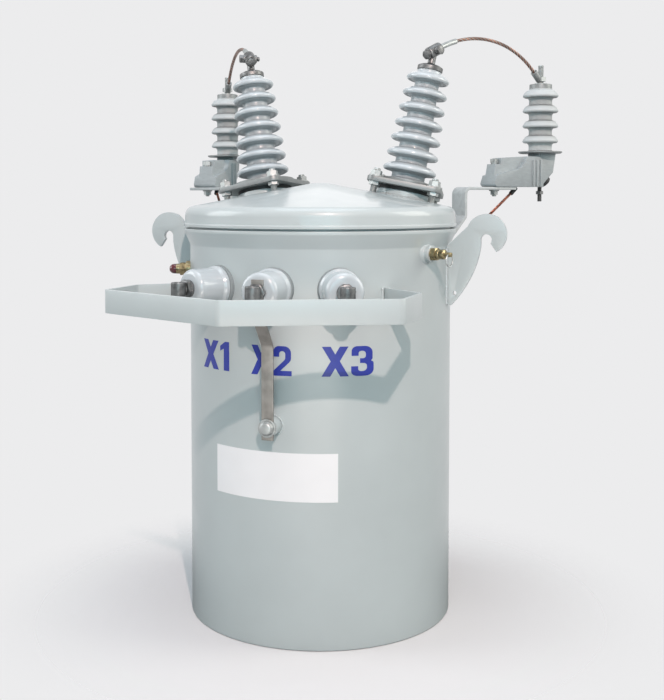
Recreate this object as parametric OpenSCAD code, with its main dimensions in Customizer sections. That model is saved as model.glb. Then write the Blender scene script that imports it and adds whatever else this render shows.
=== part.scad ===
// Pole mounted distribution transformer: an oil filled tank with two cover bushings,
// three low voltage bushings behind a guard bar, and an arrester on each side.
// Millimetres, +Z up. The origin is on the tank's axis at the level of its base, and the front is -Y.

/* [Tank] */
// Outside diameter of the tank wall
tank_d = 420; // [390:5:480]
// Thickness of the tank wall
tank_t = 3; // [2:0.5:5]
// Thickness of the bottom plate
bottom_t = 5; // [3:0.5:10]
// Height of the cover skirt's lower edge above the base
skirt_z = 618; // [600:1:700]
// How far the rolled bead under the skirt stands out from the wall
bead_out = 9; // [5:0.5:12]
// Height of the rolled bead
bead_h = 26; // [18:1:34]

/* [Cover] */
// Sheet thickness of the cover
cover_t = 3; // [2:0.5:4]
// Height of the cover skirt, with its shoulder
skirt_h = 33; // [28:1:45]
// How far the outside of the skirt stands out from the tank wall
skirt_out = 8; // [7:0.5:12]
// Radius of the rounded shoulder
shoulder_r = 18; // [8:1:20]
// Slope of the conical cover in degrees
cover_slope = 10.7; // [6:0.1:14]
// Thickness of the gasket between the rim and the cover
cover_gasket_t = 5; // [3:0.5:8]

/* [High voltage bushings] */
// Distance of each bushing's foot inside the tank wall
hv_inset = 69; // [64:1:78]
// Angle of each bushing behind the sideways direction in degrees
hv_angle = 28.9; // [24:0.1:36]
// Lean of each bushing to its own side in degrees
hv_lean_out = 9.8; // [4:0.1:14]
// Lean of each bushing to the back in degrees
hv_lean_back = 7; // [0:0.5:10]
// Height of the welded neck above the cover
hv_neck_h = 8; // [6:0.5:16]
// Height of the porcelain above its seat
hv_h = 206; // [160:1:240]
// Distance between sheds
hv_pitch = 25.4; // [22:0.1:26]
// Diameter of the lowest shed
hv_shed_d = 90; // [84:1:100]
// Diameter of the highest shed
hv_top_shed_d = 72; // [64:1:84]
// Diameter of the core at the bottom
hv_core_d = 55; // [46:1:60]
// Diameter of the core at the top
hv_top_core_d = 40; // [34:1:46]
// Distance between neighbouring bolts of the square clamp flange
hv_bolt_gap = 95; // [92:1:108]
// Turn of the clamp flange about the bushing in degrees
hv_flange_turn = 10; // [0:1:90]

/* [Low voltage bushings] */
// Height of the low voltage bushings below the skirt's lower edge
lv_drop = 87; // [75:1:120]
// Angle between neighbouring bushings in degrees
lv_angle = 26.7; // [22:0.1:30]
// Diameter of the porcelain
lv_d = 56; // [46:1:64]
// How far the porcelain stands out from the wall
lv_reach = 57; // [45:1:70]
// Diameter of the terminal's opening
lv_eye_d = 13; // [8:0.5:16]

/* [Guard bar] */
// Height of the guard's lower edge below the low voltage bushings
guard_drop = 33; // [20:1:60]
// Width of the flat bar
guard_w = 34; // [24:1:44]
// Thickness of the flat bar
guard_t = 5; // [3:0.5:8]
// Distance of the guard's sides beyond the tank wall
guard_side = 11; // [6:1:40]
// Distance of the guard's corners in front of the porcelain
guard_corner = 37; // [20:1:60]
// Distance of the guard's tip in front of the porcelain
guard_tip = 136; // [100:1:160]

/* [Lifting hooks] */
// Thickness of the hook plate
hook_t = 8; // [6:0.5:14]
// Distance of the throat from the tank wall
hook_reach = 62; // [56:1:80]
// Height of the throat's centre below the skirt's lower edge
hook_drop = 11; // [8:1:30]
// Radius of the hook's head
hook_head_r = 31.5; // [28:0.5:36]
// Width of the throat
hook_throat_w = 17; // [12:0.5:22]
// Height of the weld along the tank wall
hook_weld_h = 91; // [70:1:110]

/* [Arresters] */
// Distance of each arrester's axis from the tank wall
ar_reach = 236; // [220:1:270]
// Angle of each arrester behind the sideways direction in degrees
ar_angle = 46.5; // [40:0.1:52]
// Height of the bracket's top above the skirt's lower edge
ar_rise = 124; // [110:1:140]
// Height of the arrester's housing
ar_h = 112; // [90:1:150]
// Distance between sheds
ar_pitch = 27; // [24:0.5:29]
// Diameter of the sheds
ar_shed_d = 64; // [54:1:70]
// Diameter of the core
ar_core_d = 41; // [34:1:46]
// Turn of the left bracket about its arrester, from the way to the tank's axis, in degrees
ar_left_turn = 42; // [-50:1:50]
// Turn of the right bracket about its arrester, from the way to the tank's axis, in degrees
ar_right_turn = 0; // [-50:1:50]
// Width of the moulded bracket
ar_bracket_w = 44; // [36:1:56]
// Width of the steel strap
ar_strap_w = 40; // [28:1:50]
// Thickness of the steel strap
ar_strap_t = 5; // [3:0.5:8]

/* [Leads and grounding] */
// Diameter of the stranded jumper leads
lead_d = 6; // [4:0.5:8]
// Width of the ground strap
strap_w = 18; // [14:1:24]
// Thickness of the ground strap
strap_t = 3; // [2:0.5:5]
// Height of the ground boss below the low voltage bushings
ground_drop = 199; // [150:1:260]
// Diameter of the ground boss
ground_d = 28; // [24:1:40]
// Diameter of the tapped hole in the ground boss
ground_hole_d = 12; // [8:0.5:16]

/* [Pole hangers] */
// Distance between the bolts of the two hangers
hanger_span = 286; // [250:1:320]
// Height of the upper hanger's bolt below the skirt's lower edge
hanger_drop = 142; // [100:1:200]
// Width of each hanger
hanger_w = 76; // [60:1:100]
// Height of each hanger
hanger_h = 84; // [70:1:110]
// How far each hanger stands out from the wall
hanger_reach = 44; // [32:1:60]
// Diameter of the bolt hole
hanger_hole_d = 19; // [16:0.5:24]

/* [Tank fittings] */
// Angle of the pressure relief valve from the front in degrees
relief_angle = 69; // [60:1:76]
// Height of the relief valve below the skirt's lower edge
relief_drop = 39; // [36:1:80]
// Angle of the signal lamp from the front in degrees
lamp_angle = -70; // [-76:1:-60]
// Height of the signal lamp below the skirt's lower edge
lamp_drop = 70; // [48:1:100]

/* [Hidden] */
$fn = 64;

// Clearance between pieces that seat on or in each other
fit = 0.3;
// How far a cut runs past the face that it opens
past = 1;
// How far a welded piece runs into the tank before it is cut to the wall
weld_sink = 30;
tank_r = tank_d / 2;
tank_in_r = tank_r - tank_t;

// Bead and rim of the tank wall
bead_gap = 3;
bead_top_z = skirt_z - bead_gap;
bead_lip = 5;
bead_edge = 1;
rim_out = 3;
rim_h = 4;
seat_z = skirt_z + skirt_h - shoulder_r;
rim_z = seat_z - cover_gasket_t;

// Cover: the skirt's radii, the tangent point of the shoulder and the cone's height at a radius
skirt_r = tank_r + skirt_out;
skirt_in_r = skirt_r - cover_t;
skirt_lip = 1.5;
skirt_lip_h = 5;
skirt_lip_edge = 1;
seat_w = 12;
seat_in_r = tank_in_r - seat_w;
cover_gasket_in = 3;
crown_r = 12;
cone_start = [skirt_r - shoulder_r, seat_z] + shoulder_r * [sin(cover_slope), cos(cover_slope)];
function cone_z(r) = cone_start.y + (cone_start.x - r) * tan(cover_slope);
sheet_drop = cover_t / cos(cover_slope);

// Insulator sheds: the share of the pitch below and above the rim of each shed
shed_under = 0.27;
shed_over = 0.36;
shed_crown = 0.32;

// High voltage bushings: seat on the neck, and heights along the leaning axis
hv_from_axis = tank_r - hv_inset;
hv_x = hv_from_axis * cos(hv_angle);
hv_y = hv_from_axis * sin(hv_angle);
hv_seat_z = cone_z(hv_from_axis) + hv_neck_h;
hv_bore_wall = 4;
hv_neck_wall = 15.5;
hv_bore_r = hv_core_d / 2 + hv_bore_wall;
hv_neck_r = hv_bore_r + hv_neck_wall;
hv_neck_depth = 22;
hv_gasket_t = 6;
hv_gasket_inset = 1;
hv_flange_t = 8;
hv_collar_h = 5;
hv_collar_t = 5;
hv_foot_r = hv_neck_r;
hv_collar_r = hv_foot_r + fit + hv_collar_t;
hv_foot_rise = 4;
hv_corner_r = 13;
hv_bolt_hole_r = 6.5;
hv_deck_z = hv_gasket_t + hv_flange_t;
hv_top_gap = 16;
hv_top_edge = 3;
hv_lip = 4;
hv_low_z = hv_deck_z + hv_collar_h + hv_foot_rise + shed_under * hv_pitch;
hv_sheds = floor((hv_h - hv_top_gap - hv_low_z) / hv_pitch) + 1;
hv_first_shed_z = hv_h - hv_top_gap - (hv_sheds - 1) * hv_pitch;
hv_shank_depth = 40;
hv_cap_out = 1;
hv_cap_r = hv_top_core_d / 2 + hv_cap_out;
hv_cap_h = 9;
hv_cap_slope = [6, 3];
hv_stem_r = 6.3;
hv_stem_h = 16;
hv_barrel_r = 10;
hv_barrel_len = 28;
hv_barrel_tilt = 25;
hv_barrel_sink = 2;
hv_eye_z = hv_h + hv_cap_h + hv_stem_h + hv_barrel_r - hv_barrel_sink;

// Low voltage bushings: radii about each bushing, and distances from the tank's axis
lv_z = skirt_z - lv_drop;
lv_r = lv_d / 2;
lv_gasket_t = 4;
lv_gasket_out = 4;
lv_gasket_r = lv_r + lv_gasket_out;
lv_shank_inset = 8;
lv_hole_r = lv_r - lv_shank_inset;
lv_shank_in = 30;
lv_foot_out = 3;
lv_foot_h = 6;
lv_foot_slope = 4;
lv_nose_r = 14;
lv_stud_r = 8;
lv_stud_in = 40;
lv_front = tank_r + lv_reach;
lv_washer_t = strap_t + 2 * fit;
lv_washer_r = 13;
lv_nut_t = 7;
lv_nut_r = 14;
lv_eye_wall = 4.5;
lv_eye_r = lv_eye_d / 2 + lv_eye_wall;
lv_eye_w = 20;
lv_eye_sink = 2;
lv_eye_at = lv_front + lv_washer_t + lv_nut_t + lv_eye_r - lv_eye_sink;

// Guard bar: its plan, from the foot of each leg on the wall to the tip in the middle
guard_z = lv_z - guard_drop;
guard_x = tank_r + guard_side;
guard_y = lv_front + guard_corner;
guard_tip_y = lv_front + guard_tip;
guard_leg_angle = 46;
guard_leg_slope = 43.2;
guard_leg_sink = 2;
guard_bend_r = 10;

// Lifting hooks: the throat's centre, the weld's ends and the handles of the curved back
hook_eye = [tank_r + hook_reach, skirt_z - hook_drop];
hook_top_drop = 19;
hook_top = [tank_r, hook_eye.y - hook_top_drop];
hook_heel = hook_top - [0, hook_weld_h];
hook_sink = 5;
hook_head_angles = [158, -60];
hook_tip_angle = -40;
hook_throat_h = 18;
hook_back_handle = [-12, -52];
hook_heel_handle = [30, 22];
hook_heel_end = [7, -2];
hook_hole_at = [13, 18];
hook_hole_r = 3;

// Relief valve and signal lamp, as radii and as distances from the wall
relief_z = skirt_z - relief_drop;
relief_boss_r = 13;
relief_boss_h = 10;
relief_thread_r = 6;
relief_thread_in = 7;
relief_hole_floor = 2;
relief_hex_r = 10;
relief_hex_h = 9;
relief_body_r = 7.5;
relief_body_h = 22;
relief_stem_r = 3.5;
relief_stem_h = 34;
relief_pin_h = 30;
relief_pin_r = 1.5;
relief_ring_r = 9;
relief_wire_r = 1;
lamp_z = skirt_z - lamp_drop;
lamp_foot_r = 13;
lamp_foot_h = 8;
lamp_hex_r = 11;
lamp_hex_h = 18;
lamp_neck_r = 8;
lamp_neck_h = 24;
lamp_lens_edge = 3;

// Arresters: the distance from the tank's axis, and the pieces' heights
ar_z = skirt_z + ar_rise;
ar_from_axis = tank_r + ar_reach;
ar_x = ar_from_axis * cos(ar_angle);
ar_y = ar_from_axis * sin(ar_angle);
ar_base_t = 4;
ar_base_out = 7;
ar_base_r = ar_shed_d / 2 + ar_base_out;
ar_housing_z = ar_z + ar_base_t;
ar_lip = 3.5;
ar_foot_share = 0.68;
ar_top_edge = 2;
ar_sheds = floor((ar_h - ar_top_edge) / ar_pitch - ar_foot_share - shed_over) + 1;
ar_cap_z = ar_housing_z + ar_h;
ar_cap_h = 8;
ar_cap_inset = 0.5;
ar_cap_r = ar_core_d / 2 - ar_cap_inset;
ar_stud_r = 5;
ar_stud_h = 34;
ar_nut_r = 11;
ar_nut_h = 8;
ar_lug_tilt = 41;
ar_lug_wall = 3;
ar_lug_r = lead_d / 2 + ar_lug_wall;
ar_lug_len = 26;
ar_lug_z = 4;

// Arrester brackets: distances from the arrester towards the bolt, and heights below the top
bracket_h = 60;
bracket_reach = 115;
bracket_neck_w = 34;
bracket_neck = [-22, 14];
bracket_slant_out = [-16, -34];
bracket_slant_in = [9, -bracket_h + 2];
bracket_body_at = 9;
bracket_top = 6;
bracket_hump_r = 14;
bracket_toe_r = 6;
bracket_toe_rise = [4, 18];
bracket_seat = [107, 20];
bracket_crest = [95, 9];
bracket_rib = 4;
bracket_rib_out = 3;
bracket_rib_step = 8;
bracket_rib_at = 14;
bracket_rib_drop = 12;
bracket_sweep = [[44, past - bracket_top], [58, -38], [68, -24], [bracket_reach + past, -42]];
bracket_sweep_steps = 8;
bracket_shelf_w = 9;
bracket_bolt_at = 101;
disc_r = 13;
disc_t = 10;
disc_stud_r = 4;
disc_stud_h = 40;
disc_stud_in = 4;

// Each bracket's direction from its arrester, and the spot of the bolt that holds it on its strap
function arm_angle(s) = ar_angle + 180 + (s < 0 ? ar_left_turn : ar_right_turn);
function arm(s) = [cos(arm_angle(s)), sin(arm_angle(s)), 0];
function arm_bolt(s) = [ar_x, ar_y, 0] + bracket_bolt_at * arm(s);
function strap_way(s) = arm_bolt(s) / norm(arm_bolt(s));

// Arrester straps and their ground leads
ar_strap_z = ar_z - bracket_h - fit;
ar_strap_gap = 62;
ar_strap_r = tank_r + ar_strap_gap;
ar_strap_end = 34;
ar_strap_bend_r = 10;
ar_strap_slope_h = 70;
ar_foot_drop = 108;
ar_foot_z = skirt_z - ar_foot_drop;
ar_foot_h = 50;
ground_lead_r = 2.5;
ground_lead_at = 54;
ground_lead_steps = 12;
ground_lead_start = [14, -14];
ground_lead_end = [50, 45];

// Ground strap, from the middle low voltage stud to the ground boss
ground_z = lv_z - ground_drop;
ground_boss_h = 20;
ground_hole_floor = 2;
ground_face = tank_r + ground_boss_h;
strap_face = lv_front + fit;
strap_bend_gap = 4;
strap_knee_drop = 80;
strap_bend_r = 12;
strap_tab = 4;
strap_hole_play = 1;

// Pole hangers
hanger_top_z = skirt_z - hanger_drop;
hanger_plate = 6;

// A point at a radius and an angle from the front, and at a height
function around(r, a, z) = [r * sin(a), -r * cos(a), z];
function unit(v) = v / norm(v);
// A point on a cubic curve with two handles
function curve(a, b, c, d, t) =
    a * pow(1 - t, 3) + 3 * b * t * pow(1 - t, 2) + 3 * c * t * t * (1 - t) + d * pow(t, 3);
// An arc about c from one angle to another
function arc(c, r, from, to, steps) =
    [for (i = [0:steps]) c + r * [cos(from + (to - from) * i / steps), sin(from + (to - from) * i / steps)]];

// The centre line of a bent flat bar: straight runs with round bends, as points with their left normals
function left(v) = [-v.y, v.x];
function bend(a, b, c, r, steps) =
    let (u = unit(b - a), v = unit(c - b), turn = atan2(u.x * v.y - u.y * v.x, u * v),
        side = sign(turn), cut = r * tan(abs(turn) / 2), mid = b - u * cut + side * left(u) * r)
    [for (i = [0:steps]) let (t = turn * i / steps,
        n = [left(u).x * cos(t) - left(u).y * sin(t), left(u).x * sin(t) + left(u).y * cos(t)])
        [mid - side * n * r, n]];
function bar_line(pts, r, steps) = let (last = len(pts) - 1) concat(
    [[pts[0], left(unit(pts[1] - pts[0]))]],
    [for (i = [1:last - 1]) each bend(pts[i - 1], pts[i], pts[i + 1], r, steps)],
    [[pts[last], left(unit(pts[last] - pts[last - 1]))]]);
module bent_bar(pts, thick, r, steps = 5) {
    line = bar_line(pts, r, steps);
    polygon(concat([for (p = line) p[0] + p[1] * thick / 2],
        [for (i = [len(line) - 1:-1:0]) line[i][0] - line[i][1] * thick / 2]));
}

// A round tube along points; side is a direction that the path never follows
module tube(path, r, side, sides = 10) {
    last = len(path) - 1;
    rings = [for (i = [0:last]) let (t = unit(path[min(i + 1, last)] - path[max(i - 1, 0)]),
        b = unit(side - t * (side * t)), c = cross(t, b))
        for (k = [0:sides - 1]) path[i] + r * (b * cos(360 * k / sides) + c * sin(360 * k / sides))];
    walls = [for (i = [0:last - 1], k = [0:sides - 1]) let (n = (k + 1) % sides)
        [i * sides + k, (i + 1) * sides + k, (i + 1) * sides + n, i * sides + n]];
    ends = [[for (k = [0:sides - 1]) k], [for (k = [sides - 1:-1:0]) last * sides + k]];
    polyhedron(rings, concat(walls, ends), convexity = 6);
}

// Places
module on_wall(angle, z) { rotate([0, 0, angle]) translate([0, 0, z]) rotate([90, 0, 0]) children(); }
module tank_body(grow) { cylinder(r = tank_r + grow, h = skirt_z, $fn = 128); }
module at_hv() {
    translate([hv_x, hv_y, hv_seat_z]) rotate([-hv_lean_back, hv_lean_out, 0]) children();
}
module at_bracket(s) { translate([ar_x, ar_y, 0]) rotate([0, 0, arm_angle(s)]) children(); }
module both(side) { mirror([side < 0 ? 1 : 0, 0, 0]) children(); }
module lying(w) { rotate([90, 0, 0]) translate([0, 0, -w / 2]) linear_extrude(w) children(); }
// Turns +Z to a direction
module along(d) { rotate([0, acos(unit(d).z), atan2(d.y, d.x)]) children(); }

// The lean of the bushing as a direction, and the points that the jumper lead joins
function hv_axis() = let (b = -hv_lean_back, o = hv_lean_out) [sin(o) * cos(b), -sin(b), cos(o) * cos(b)];
hv_eye = [hv_x, hv_y, hv_seat_z] + hv_axis() * hv_eye_z;
ar_post = [ar_x, ar_y, ar_cap_z + ar_cap_h + ar_lug_z];
lead_plan = unit([ar_x - hv_eye.x, ar_y - hv_eye.y, 0]);
lead_out = lead_plan * cos(hv_barrel_tilt) + [0, 0, sin(hv_barrel_tilt)];
lead_in = lead_plan * cos(ar_lug_tilt) - [0, 0, sin(ar_lug_tilt)];
lead_side = [-lead_plan.y, lead_plan.x, 0];
lead_from = hv_eye + lead_out * (hv_barrel_len / 2);
lead_to = ar_post - lead_in * ar_lug_len;
lead_arch = 85;
lead_steps = 24;
lead_seat = 12;

module tank_wall() {
    bead_r = tank_r + bead_out;
    rim_r = tank_r + rim_out;
    color("#b9c2c1") difference() {
        rotate_extrude($fn = 128) polygon([[tank_in_r, 0], [tank_r, 0], [tank_r, bead_top_z - bead_h],
            [bead_r, bead_top_z - bead_lip], [bead_r, bead_top_z - bead_edge],
            [bead_r - bead_edge, bead_top_z], [tank_r, bead_top_z], [tank_r, rim_z - rim_h],
            [rim_r, rim_z - rim_h], [rim_r, rim_z], [tank_in_r, rim_z]]);
        for (a = [-lv_angle, 0, lv_angle]) on_wall(a, lv_z) cylinder(r = lv_hole_r, h = lv_front);
    }
}

module tank_bottom() {
    color("#a9b2b1") cylinder(r = tank_in_r - fit, h = bottom_t, $fn = 128);
}

module tank_cover() {
    lip_r = skirt_r + skirt_lip;
    crown_z = cone_z(crown_r);
    color("#c3cbca") difference() {
        union() {
            rotate_extrude($fn = 128) polygon(concat(
                [[skirt_in_r, skirt_z], [lip_r, skirt_z], [lip_r, skirt_z + skirt_lip_h - skirt_lip_edge],
                    [skirt_r, skirt_z + skirt_lip_h]],
                arc([skirt_r - shoulder_r, seat_z], shoulder_r, 0, 90 - cover_slope, 6),
                [[crown_r, crown_z], [0, crown_z], [0, crown_z - sheet_drop], [crown_r, crown_z - sheet_drop],
                    [seat_in_r, cone_z(seat_in_r) - sheet_drop], [seat_in_r, seat_z], [skirt_in_r, seat_z]]));
            for (s = [-1, 1]) both(s) at_hv()
                translate([0, 0, -hv_neck_depth]) cylinder(r = hv_neck_r, h = hv_neck_depth);
        }
        for (s = [-1, 1]) both(s) at_hv()
            translate([0, 0, -2 * hv_neck_depth]) cylinder(r = hv_bore_r, h = 3 * hv_neck_depth);
    }
}

module cover_gasket() {
    color("#222222") translate([0, 0, rim_z]) difference() {
        cylinder(r = tank_r + rim_out, h = cover_gasket_t, $fn = 128);
        translate([0, 0, -past])
            cylinder(r = tank_in_r - cover_gasket_in, h = cover_gasket_t + 2 * past, $fn = 128);
    }
}

module hv_gaskets() {
    color("#1d1d1d") for (s = [-1, 1]) both(s) at_hv() difference() {
        cylinder(r = hv_neck_r - hv_gasket_inset, h = hv_gasket_t);
        translate([0, 0, -past]) cylinder(r = hv_bore_r, h = hv_gasket_t + 2 * past);
    }
}

// Square plate with round corners about its four bolts
module clamp_plate() {
    side = hv_bolt_gap + 2 * hv_corner_r;
    square([hv_bolt_gap, side], center = true);
    square([side, hv_bolt_gap], center = true);
    for (x = [-1, 1], y = [-1, 1]) translate([x, y] * hv_bolt_gap / 2) circle(hv_corner_r);
}

module hv_flange(s) {
    color("#b4b8b6") both(s) at_hv() difference() {
        translate([0, 0, hv_gasket_t]) {
            rotate(hv_flange_turn) linear_extrude(hv_flange_t) clamp_plate();
            cylinder(r = hv_collar_r, h = hv_flange_t + hv_collar_h);
        }
        cylinder(r = hv_bore_r, h = hv_deck_z + past);
        translate([0, 0, hv_deck_z]) cylinder(r = hv_foot_r + fit, h = hv_collar_h + past);
        rotate(hv_flange_turn) for (x = [-1, 1], y = [-1, 1]) translate([x, y, 0] * hv_bolt_gap / 2)
            cylinder(r = hv_bolt_hole_r, h = hv_deck_z + past);
    }
}

// One shed of an insulator: a drooping skirt with a round lip, from the core below to the core above
function shed(z, core, core_above, r, pitch, lip) = concat(
    [[core, z - pitch * shed_under], [r - 2.2 * lip, z - lip * 0.75]],
    arc([r - lip, z], lip, -80, 62, 5),
    [[(r + core_above) / 2, z + pitch * shed_crown], [core_above, z + pitch * shed_over]]);

function hv_core_at(k) = (hv_core_d + (hv_top_core_d - hv_core_d) * k / (hv_sheds - 1)) / 2;
function hv_shed_at(k) = (hv_shed_d + (hv_top_shed_d - hv_shed_d) * k / (hv_sheds - 1)) / 2;

module hv_bushing(s) {
    shank_r = hv_bore_r - fit;
    top_r = hv_top_core_d / 2;
    color("#dfe4e6") both(s) at_hv() rotate_extrude() polygon(concat(
        [[0, -hv_shank_depth], [shank_r, -hv_shank_depth], [shank_r, hv_deck_z],
            [hv_foot_r, hv_deck_z], [hv_foot_r, hv_deck_z + hv_collar_h],
            [hv_core_at(0), hv_deck_z + hv_collar_h + hv_foot_rise]],
        [for (k = [0:hv_sheds - 1]) each shed(hv_first_shed_z + k * hv_pitch, hv_core_at(k),
            hv_core_at(min(k + 1, hv_sheds - 1)), hv_shed_at(k), hv_pitch, hv_lip)],
        [[top_r, hv_h - hv_top_edge], [top_r - hv_top_edge, hv_h], [0, hv_h]]));
}

// Cap with a chamfered top, stem, and the barrel that clamps the jumper lead
module hv_terminal(s) {
    drum_h = hv_cap_h - hv_cap_slope.y;
    color("#8f918c") both(s) {
        at_hv() translate([0, 0, hv_h]) {
            cylinder(r = hv_cap_r, h = drum_h);
            translate([0, 0, drum_h])
                cylinder(r1 = hv_cap_r, r2 = hv_cap_r - hv_cap_slope.x, h = hv_cap_slope.y);
            cylinder(r = hv_stem_r, h = hv_eye_z - hv_h);
        }
        translate(hv_eye) along(lead_out) difference() {
            translate([0, 0, -hv_barrel_len / 2]) cylinder(r = hv_barrel_r, h = hv_barrel_len);
            cylinder(r = lead_d / 2 + fit, h = hv_barrel_len);
        }
    }
}

module hv_lead(s) {
    color("#9a6a55") both(s) tube(concat([lead_from - lead_out * lead_seat],
        [for (i = [0:lead_steps]) curve(lead_from, lead_from + lead_out * lead_arch,
            lead_to - lead_in * lead_arch, lead_to, i / lead_steps)],
        [lead_to + lead_in * lead_seat]), lead_d / 2, lead_side);
}

module lv_gaskets() {
    color("#3a3d3e") difference() {
        for (a = [-lv_angle, 0, lv_angle]) on_wall(a, lv_z) difference() {
            cylinder(r = lv_gasket_r, h = tank_r + lv_gasket_t);
            cylinder(r = lv_hole_r, h = tank_r + lv_gasket_t + past);
        }
        tank_body(fit);
    }
}

// Porcelain with a shank through the wall, a foot on its gasket, and a rounded nose with the stud's hole
module lv_bushing(a) {
    back = tank_r + lv_gasket_t + fit;
    foot_r = lv_r + lv_foot_out;
    shank_r = lv_hole_r - fit;
    hole_r = lv_stud_r + fit;
    color("#e6ebee") on_wall(a, lv_z) rotate_extrude() polygon(concat(
        [[hole_r, tank_in_r - lv_shank_in], [shank_r, tank_in_r - lv_shank_in], [shank_r, back],
            [foot_r, back], [foot_r, back + lv_foot_h], [lv_r, back + lv_foot_h + lv_foot_slope]],
        arc([lv_r - lv_nose_r, lv_front - lv_nose_r], lv_nose_r, 0, 90, 6),
        [[hole_r, lv_front]]));
}

// Stud, washer where no strap takes its place, nut, and the eye whose opening stands upright
module lv_terminal(a, washer) {
    stud_from = tank_in_r - lv_stud_in;
    nut_from = lv_front + lv_washer_t;
    color("#777a78") on_wall(a, lv_z) {
        translate([0, 0, stud_from]) cylinder(r = lv_stud_r, h = nut_from + lv_eye_sink - stud_from);
        if (washer) translate([0, 0, lv_front + fit]) cylinder(r = lv_washer_r, h = lv_washer_t);
        translate([0, 0, nut_from]) cylinder(r = lv_nut_r, h = lv_nut_t, $fn = 6);
        translate([0, 0, lv_eye_at]) rotate([90, 0, 0]) difference() {
            cylinder(r = lv_eye_r, h = lv_eye_w, center = true);
            cylinder(d = lv_eye_d, h = lv_eye_w + 2 * past, center = true);
        }
    }
}

// Side view of the ground strap, as distance from the axis and height
module ground_strap() {
    tab = ground_d / 2 + strap_tab;
    top = strap_face + strap_t / 2;
    foot = ground_face + fit + strap_t / 2;
    color("#b3b4ae") difference() {
        rotate([0, 0, -90]) lying(strap_w) bent_bar([[top, lv_z + strap_w], [top, lv_z - lv_r - strap_bend_gap],
            [foot, lv_z - strap_knee_drop], [foot, ground_z - tab]], strap_t, strap_bend_r);
        on_wall(0, lv_z) cylinder(r = lv_stud_r + fit, h = 2 * lv_front);
        on_wall(0, ground_z) cylinder(d = ground_hole_d + strap_hole_play, h = lv_front);
    }
}

module ground_boss() {
    color("#b9c2c1") difference() {
        on_wall(0, ground_z) difference() {
            cylinder(d = ground_d, h = ground_face);
            translate([0, 0, tank_r + ground_hole_floor]) cylinder(d = ground_hole_d, h = ground_face);
        }
        tank_body(fit);
    }
}

// Plan of the guard: from the wall outwards, forwards, and to the tip in the middle
module bushing_guard() {
    leg = around(tank_r - guard_leg_sink, guard_leg_angle, 0);
    elbow_y = leg.y - (guard_x - leg.x) * tan(guard_leg_slope);
    half = [[leg.x, leg.y], [guard_x, elbow_y], [guard_x, -guard_y]];
    color("#c6ccca") difference() {
        translate([0, 0, guard_z]) linear_extrude(guard_w) bent_bar(concat(half, [[0, -guard_tip_y]],
            [for (i = [2:-1:0]) [-half[i].x, half[i].y]]), guard_t, guard_bend_r);
        tank_body(fit);
    }
}

// Hook plate, as distance from the axis and height: a round head over a throat that opens downwards
module hook_outline() {
    throat = hook_throat_w / 2;
    difference() {
        polygon(concat([hook_top - [hook_sink, 0], hook_top],
            arc(hook_eye, hook_head_r, hook_head_angles[0], hook_head_angles[1], 24),
            arc(hook_eye - [0, throat], throat, hook_tip_angle, 180, 12),
            [for (i = [0:8]) curve(hook_eye - [throat, hook_throat_h], hook_eye + hook_back_handle,
                hook_heel + hook_heel_handle, hook_heel + hook_heel_end, i / 8)],
            [hook_heel, hook_heel - [hook_sink, 0]]));
        translate(hook_heel + hook_hole_at) circle(hook_hole_r);
    }
}

module lifting_hook(s) {
    color("#bcc5c4") both(s) difference() {
        lying(hook_t) hook_outline();
        tank_body(fit);
    }
}

module relief_boss() {
    color("#c5ccca") difference() {
        on_wall(relief_angle, relief_z) difference() {
            cylinder(r = relief_boss_r, h = tank_r + relief_boss_h);
            translate([0, 0, tank_r + relief_hole_floor])
                cylinder(r = relief_thread_r + fit, h = relief_boss_h);
        }
        tank_body(fit);
    }
}

// Threaded end in the boss, hexagon, body, and the stem with a cross hole for the pull ring
module relief_valve() {
    color("#a08a4a") on_wall(relief_angle, relief_z) translate([0, 0, tank_r + relief_boss_h]) {
        translate([0, 0, -relief_thread_in])
            cylinder(r = relief_thread_r, h = relief_thread_in + relief_hex_h);
        translate([0, 0, fit]) cylinder(r = relief_hex_r, h = relief_hex_h, $fn = 6);
        translate([0, 0, fit]) cylinder(r = relief_body_r, h = relief_body_h);
        difference() {
            cylinder(r = relief_stem_r, h = relief_stem_h);
            translate([0, 0, relief_pin_h]) rotate([0, 90, 0])
                cylinder(r = relief_pin_r, h = 4 * relief_stem_r, center = true);
        }
    }
}

module relief_ring() {
    color("#8d8f88") on_wall(relief_angle, relief_z)
        translate([0, fit - relief_ring_r, tank_r + relief_boss_h + relief_pin_h])
        rotate_extrude($fn = 48) translate([relief_ring_r, 0]) circle(relief_wire_r, $fn = 16);
}

module signal_lamp_body() {
    color("#a98f4c") difference() {
        on_wall(lamp_angle, lamp_z) {
            cylinder(r = lamp_foot_r, h = tank_r + lamp_foot_h);
            cylinder(r = lamp_hex_r, h = tank_r + lamp_hex_h, $fn = 6);
            cylinder(r = lamp_neck_r, h = tank_r + lamp_neck_h);
        }
        tank_body(fit);
    }
}

module signal_lamp_lens() {
    color("#6d1f26") on_wall(lamp_angle, lamp_z) translate([0, 0, tank_r + lamp_neck_h + fit])
        rotate_extrude() polygon(concat([[0, 0], [lamp_neck_r, 0]],
            arc([0, lamp_lens_edge], lamp_neck_r, 0, 90, 6)));
}

module arrester_housing(s) {
    core_r = ar_core_d / 2;
    color("#cfd4d5") both(s) translate([ar_x, ar_y, ar_housing_z]) rotate_extrude() polygon(concat(
        [[0, 0], [core_r, 0]],
        [for (k = [0:ar_sheds - 1]) each shed((k + ar_foot_share) * ar_pitch, core_r, core_r,
            ar_shed_d / 2, ar_pitch, ar_lip)],
        [[core_r, ar_h - ar_top_edge], [core_r - ar_top_edge, ar_h], [0, ar_h]]));
}

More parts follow.
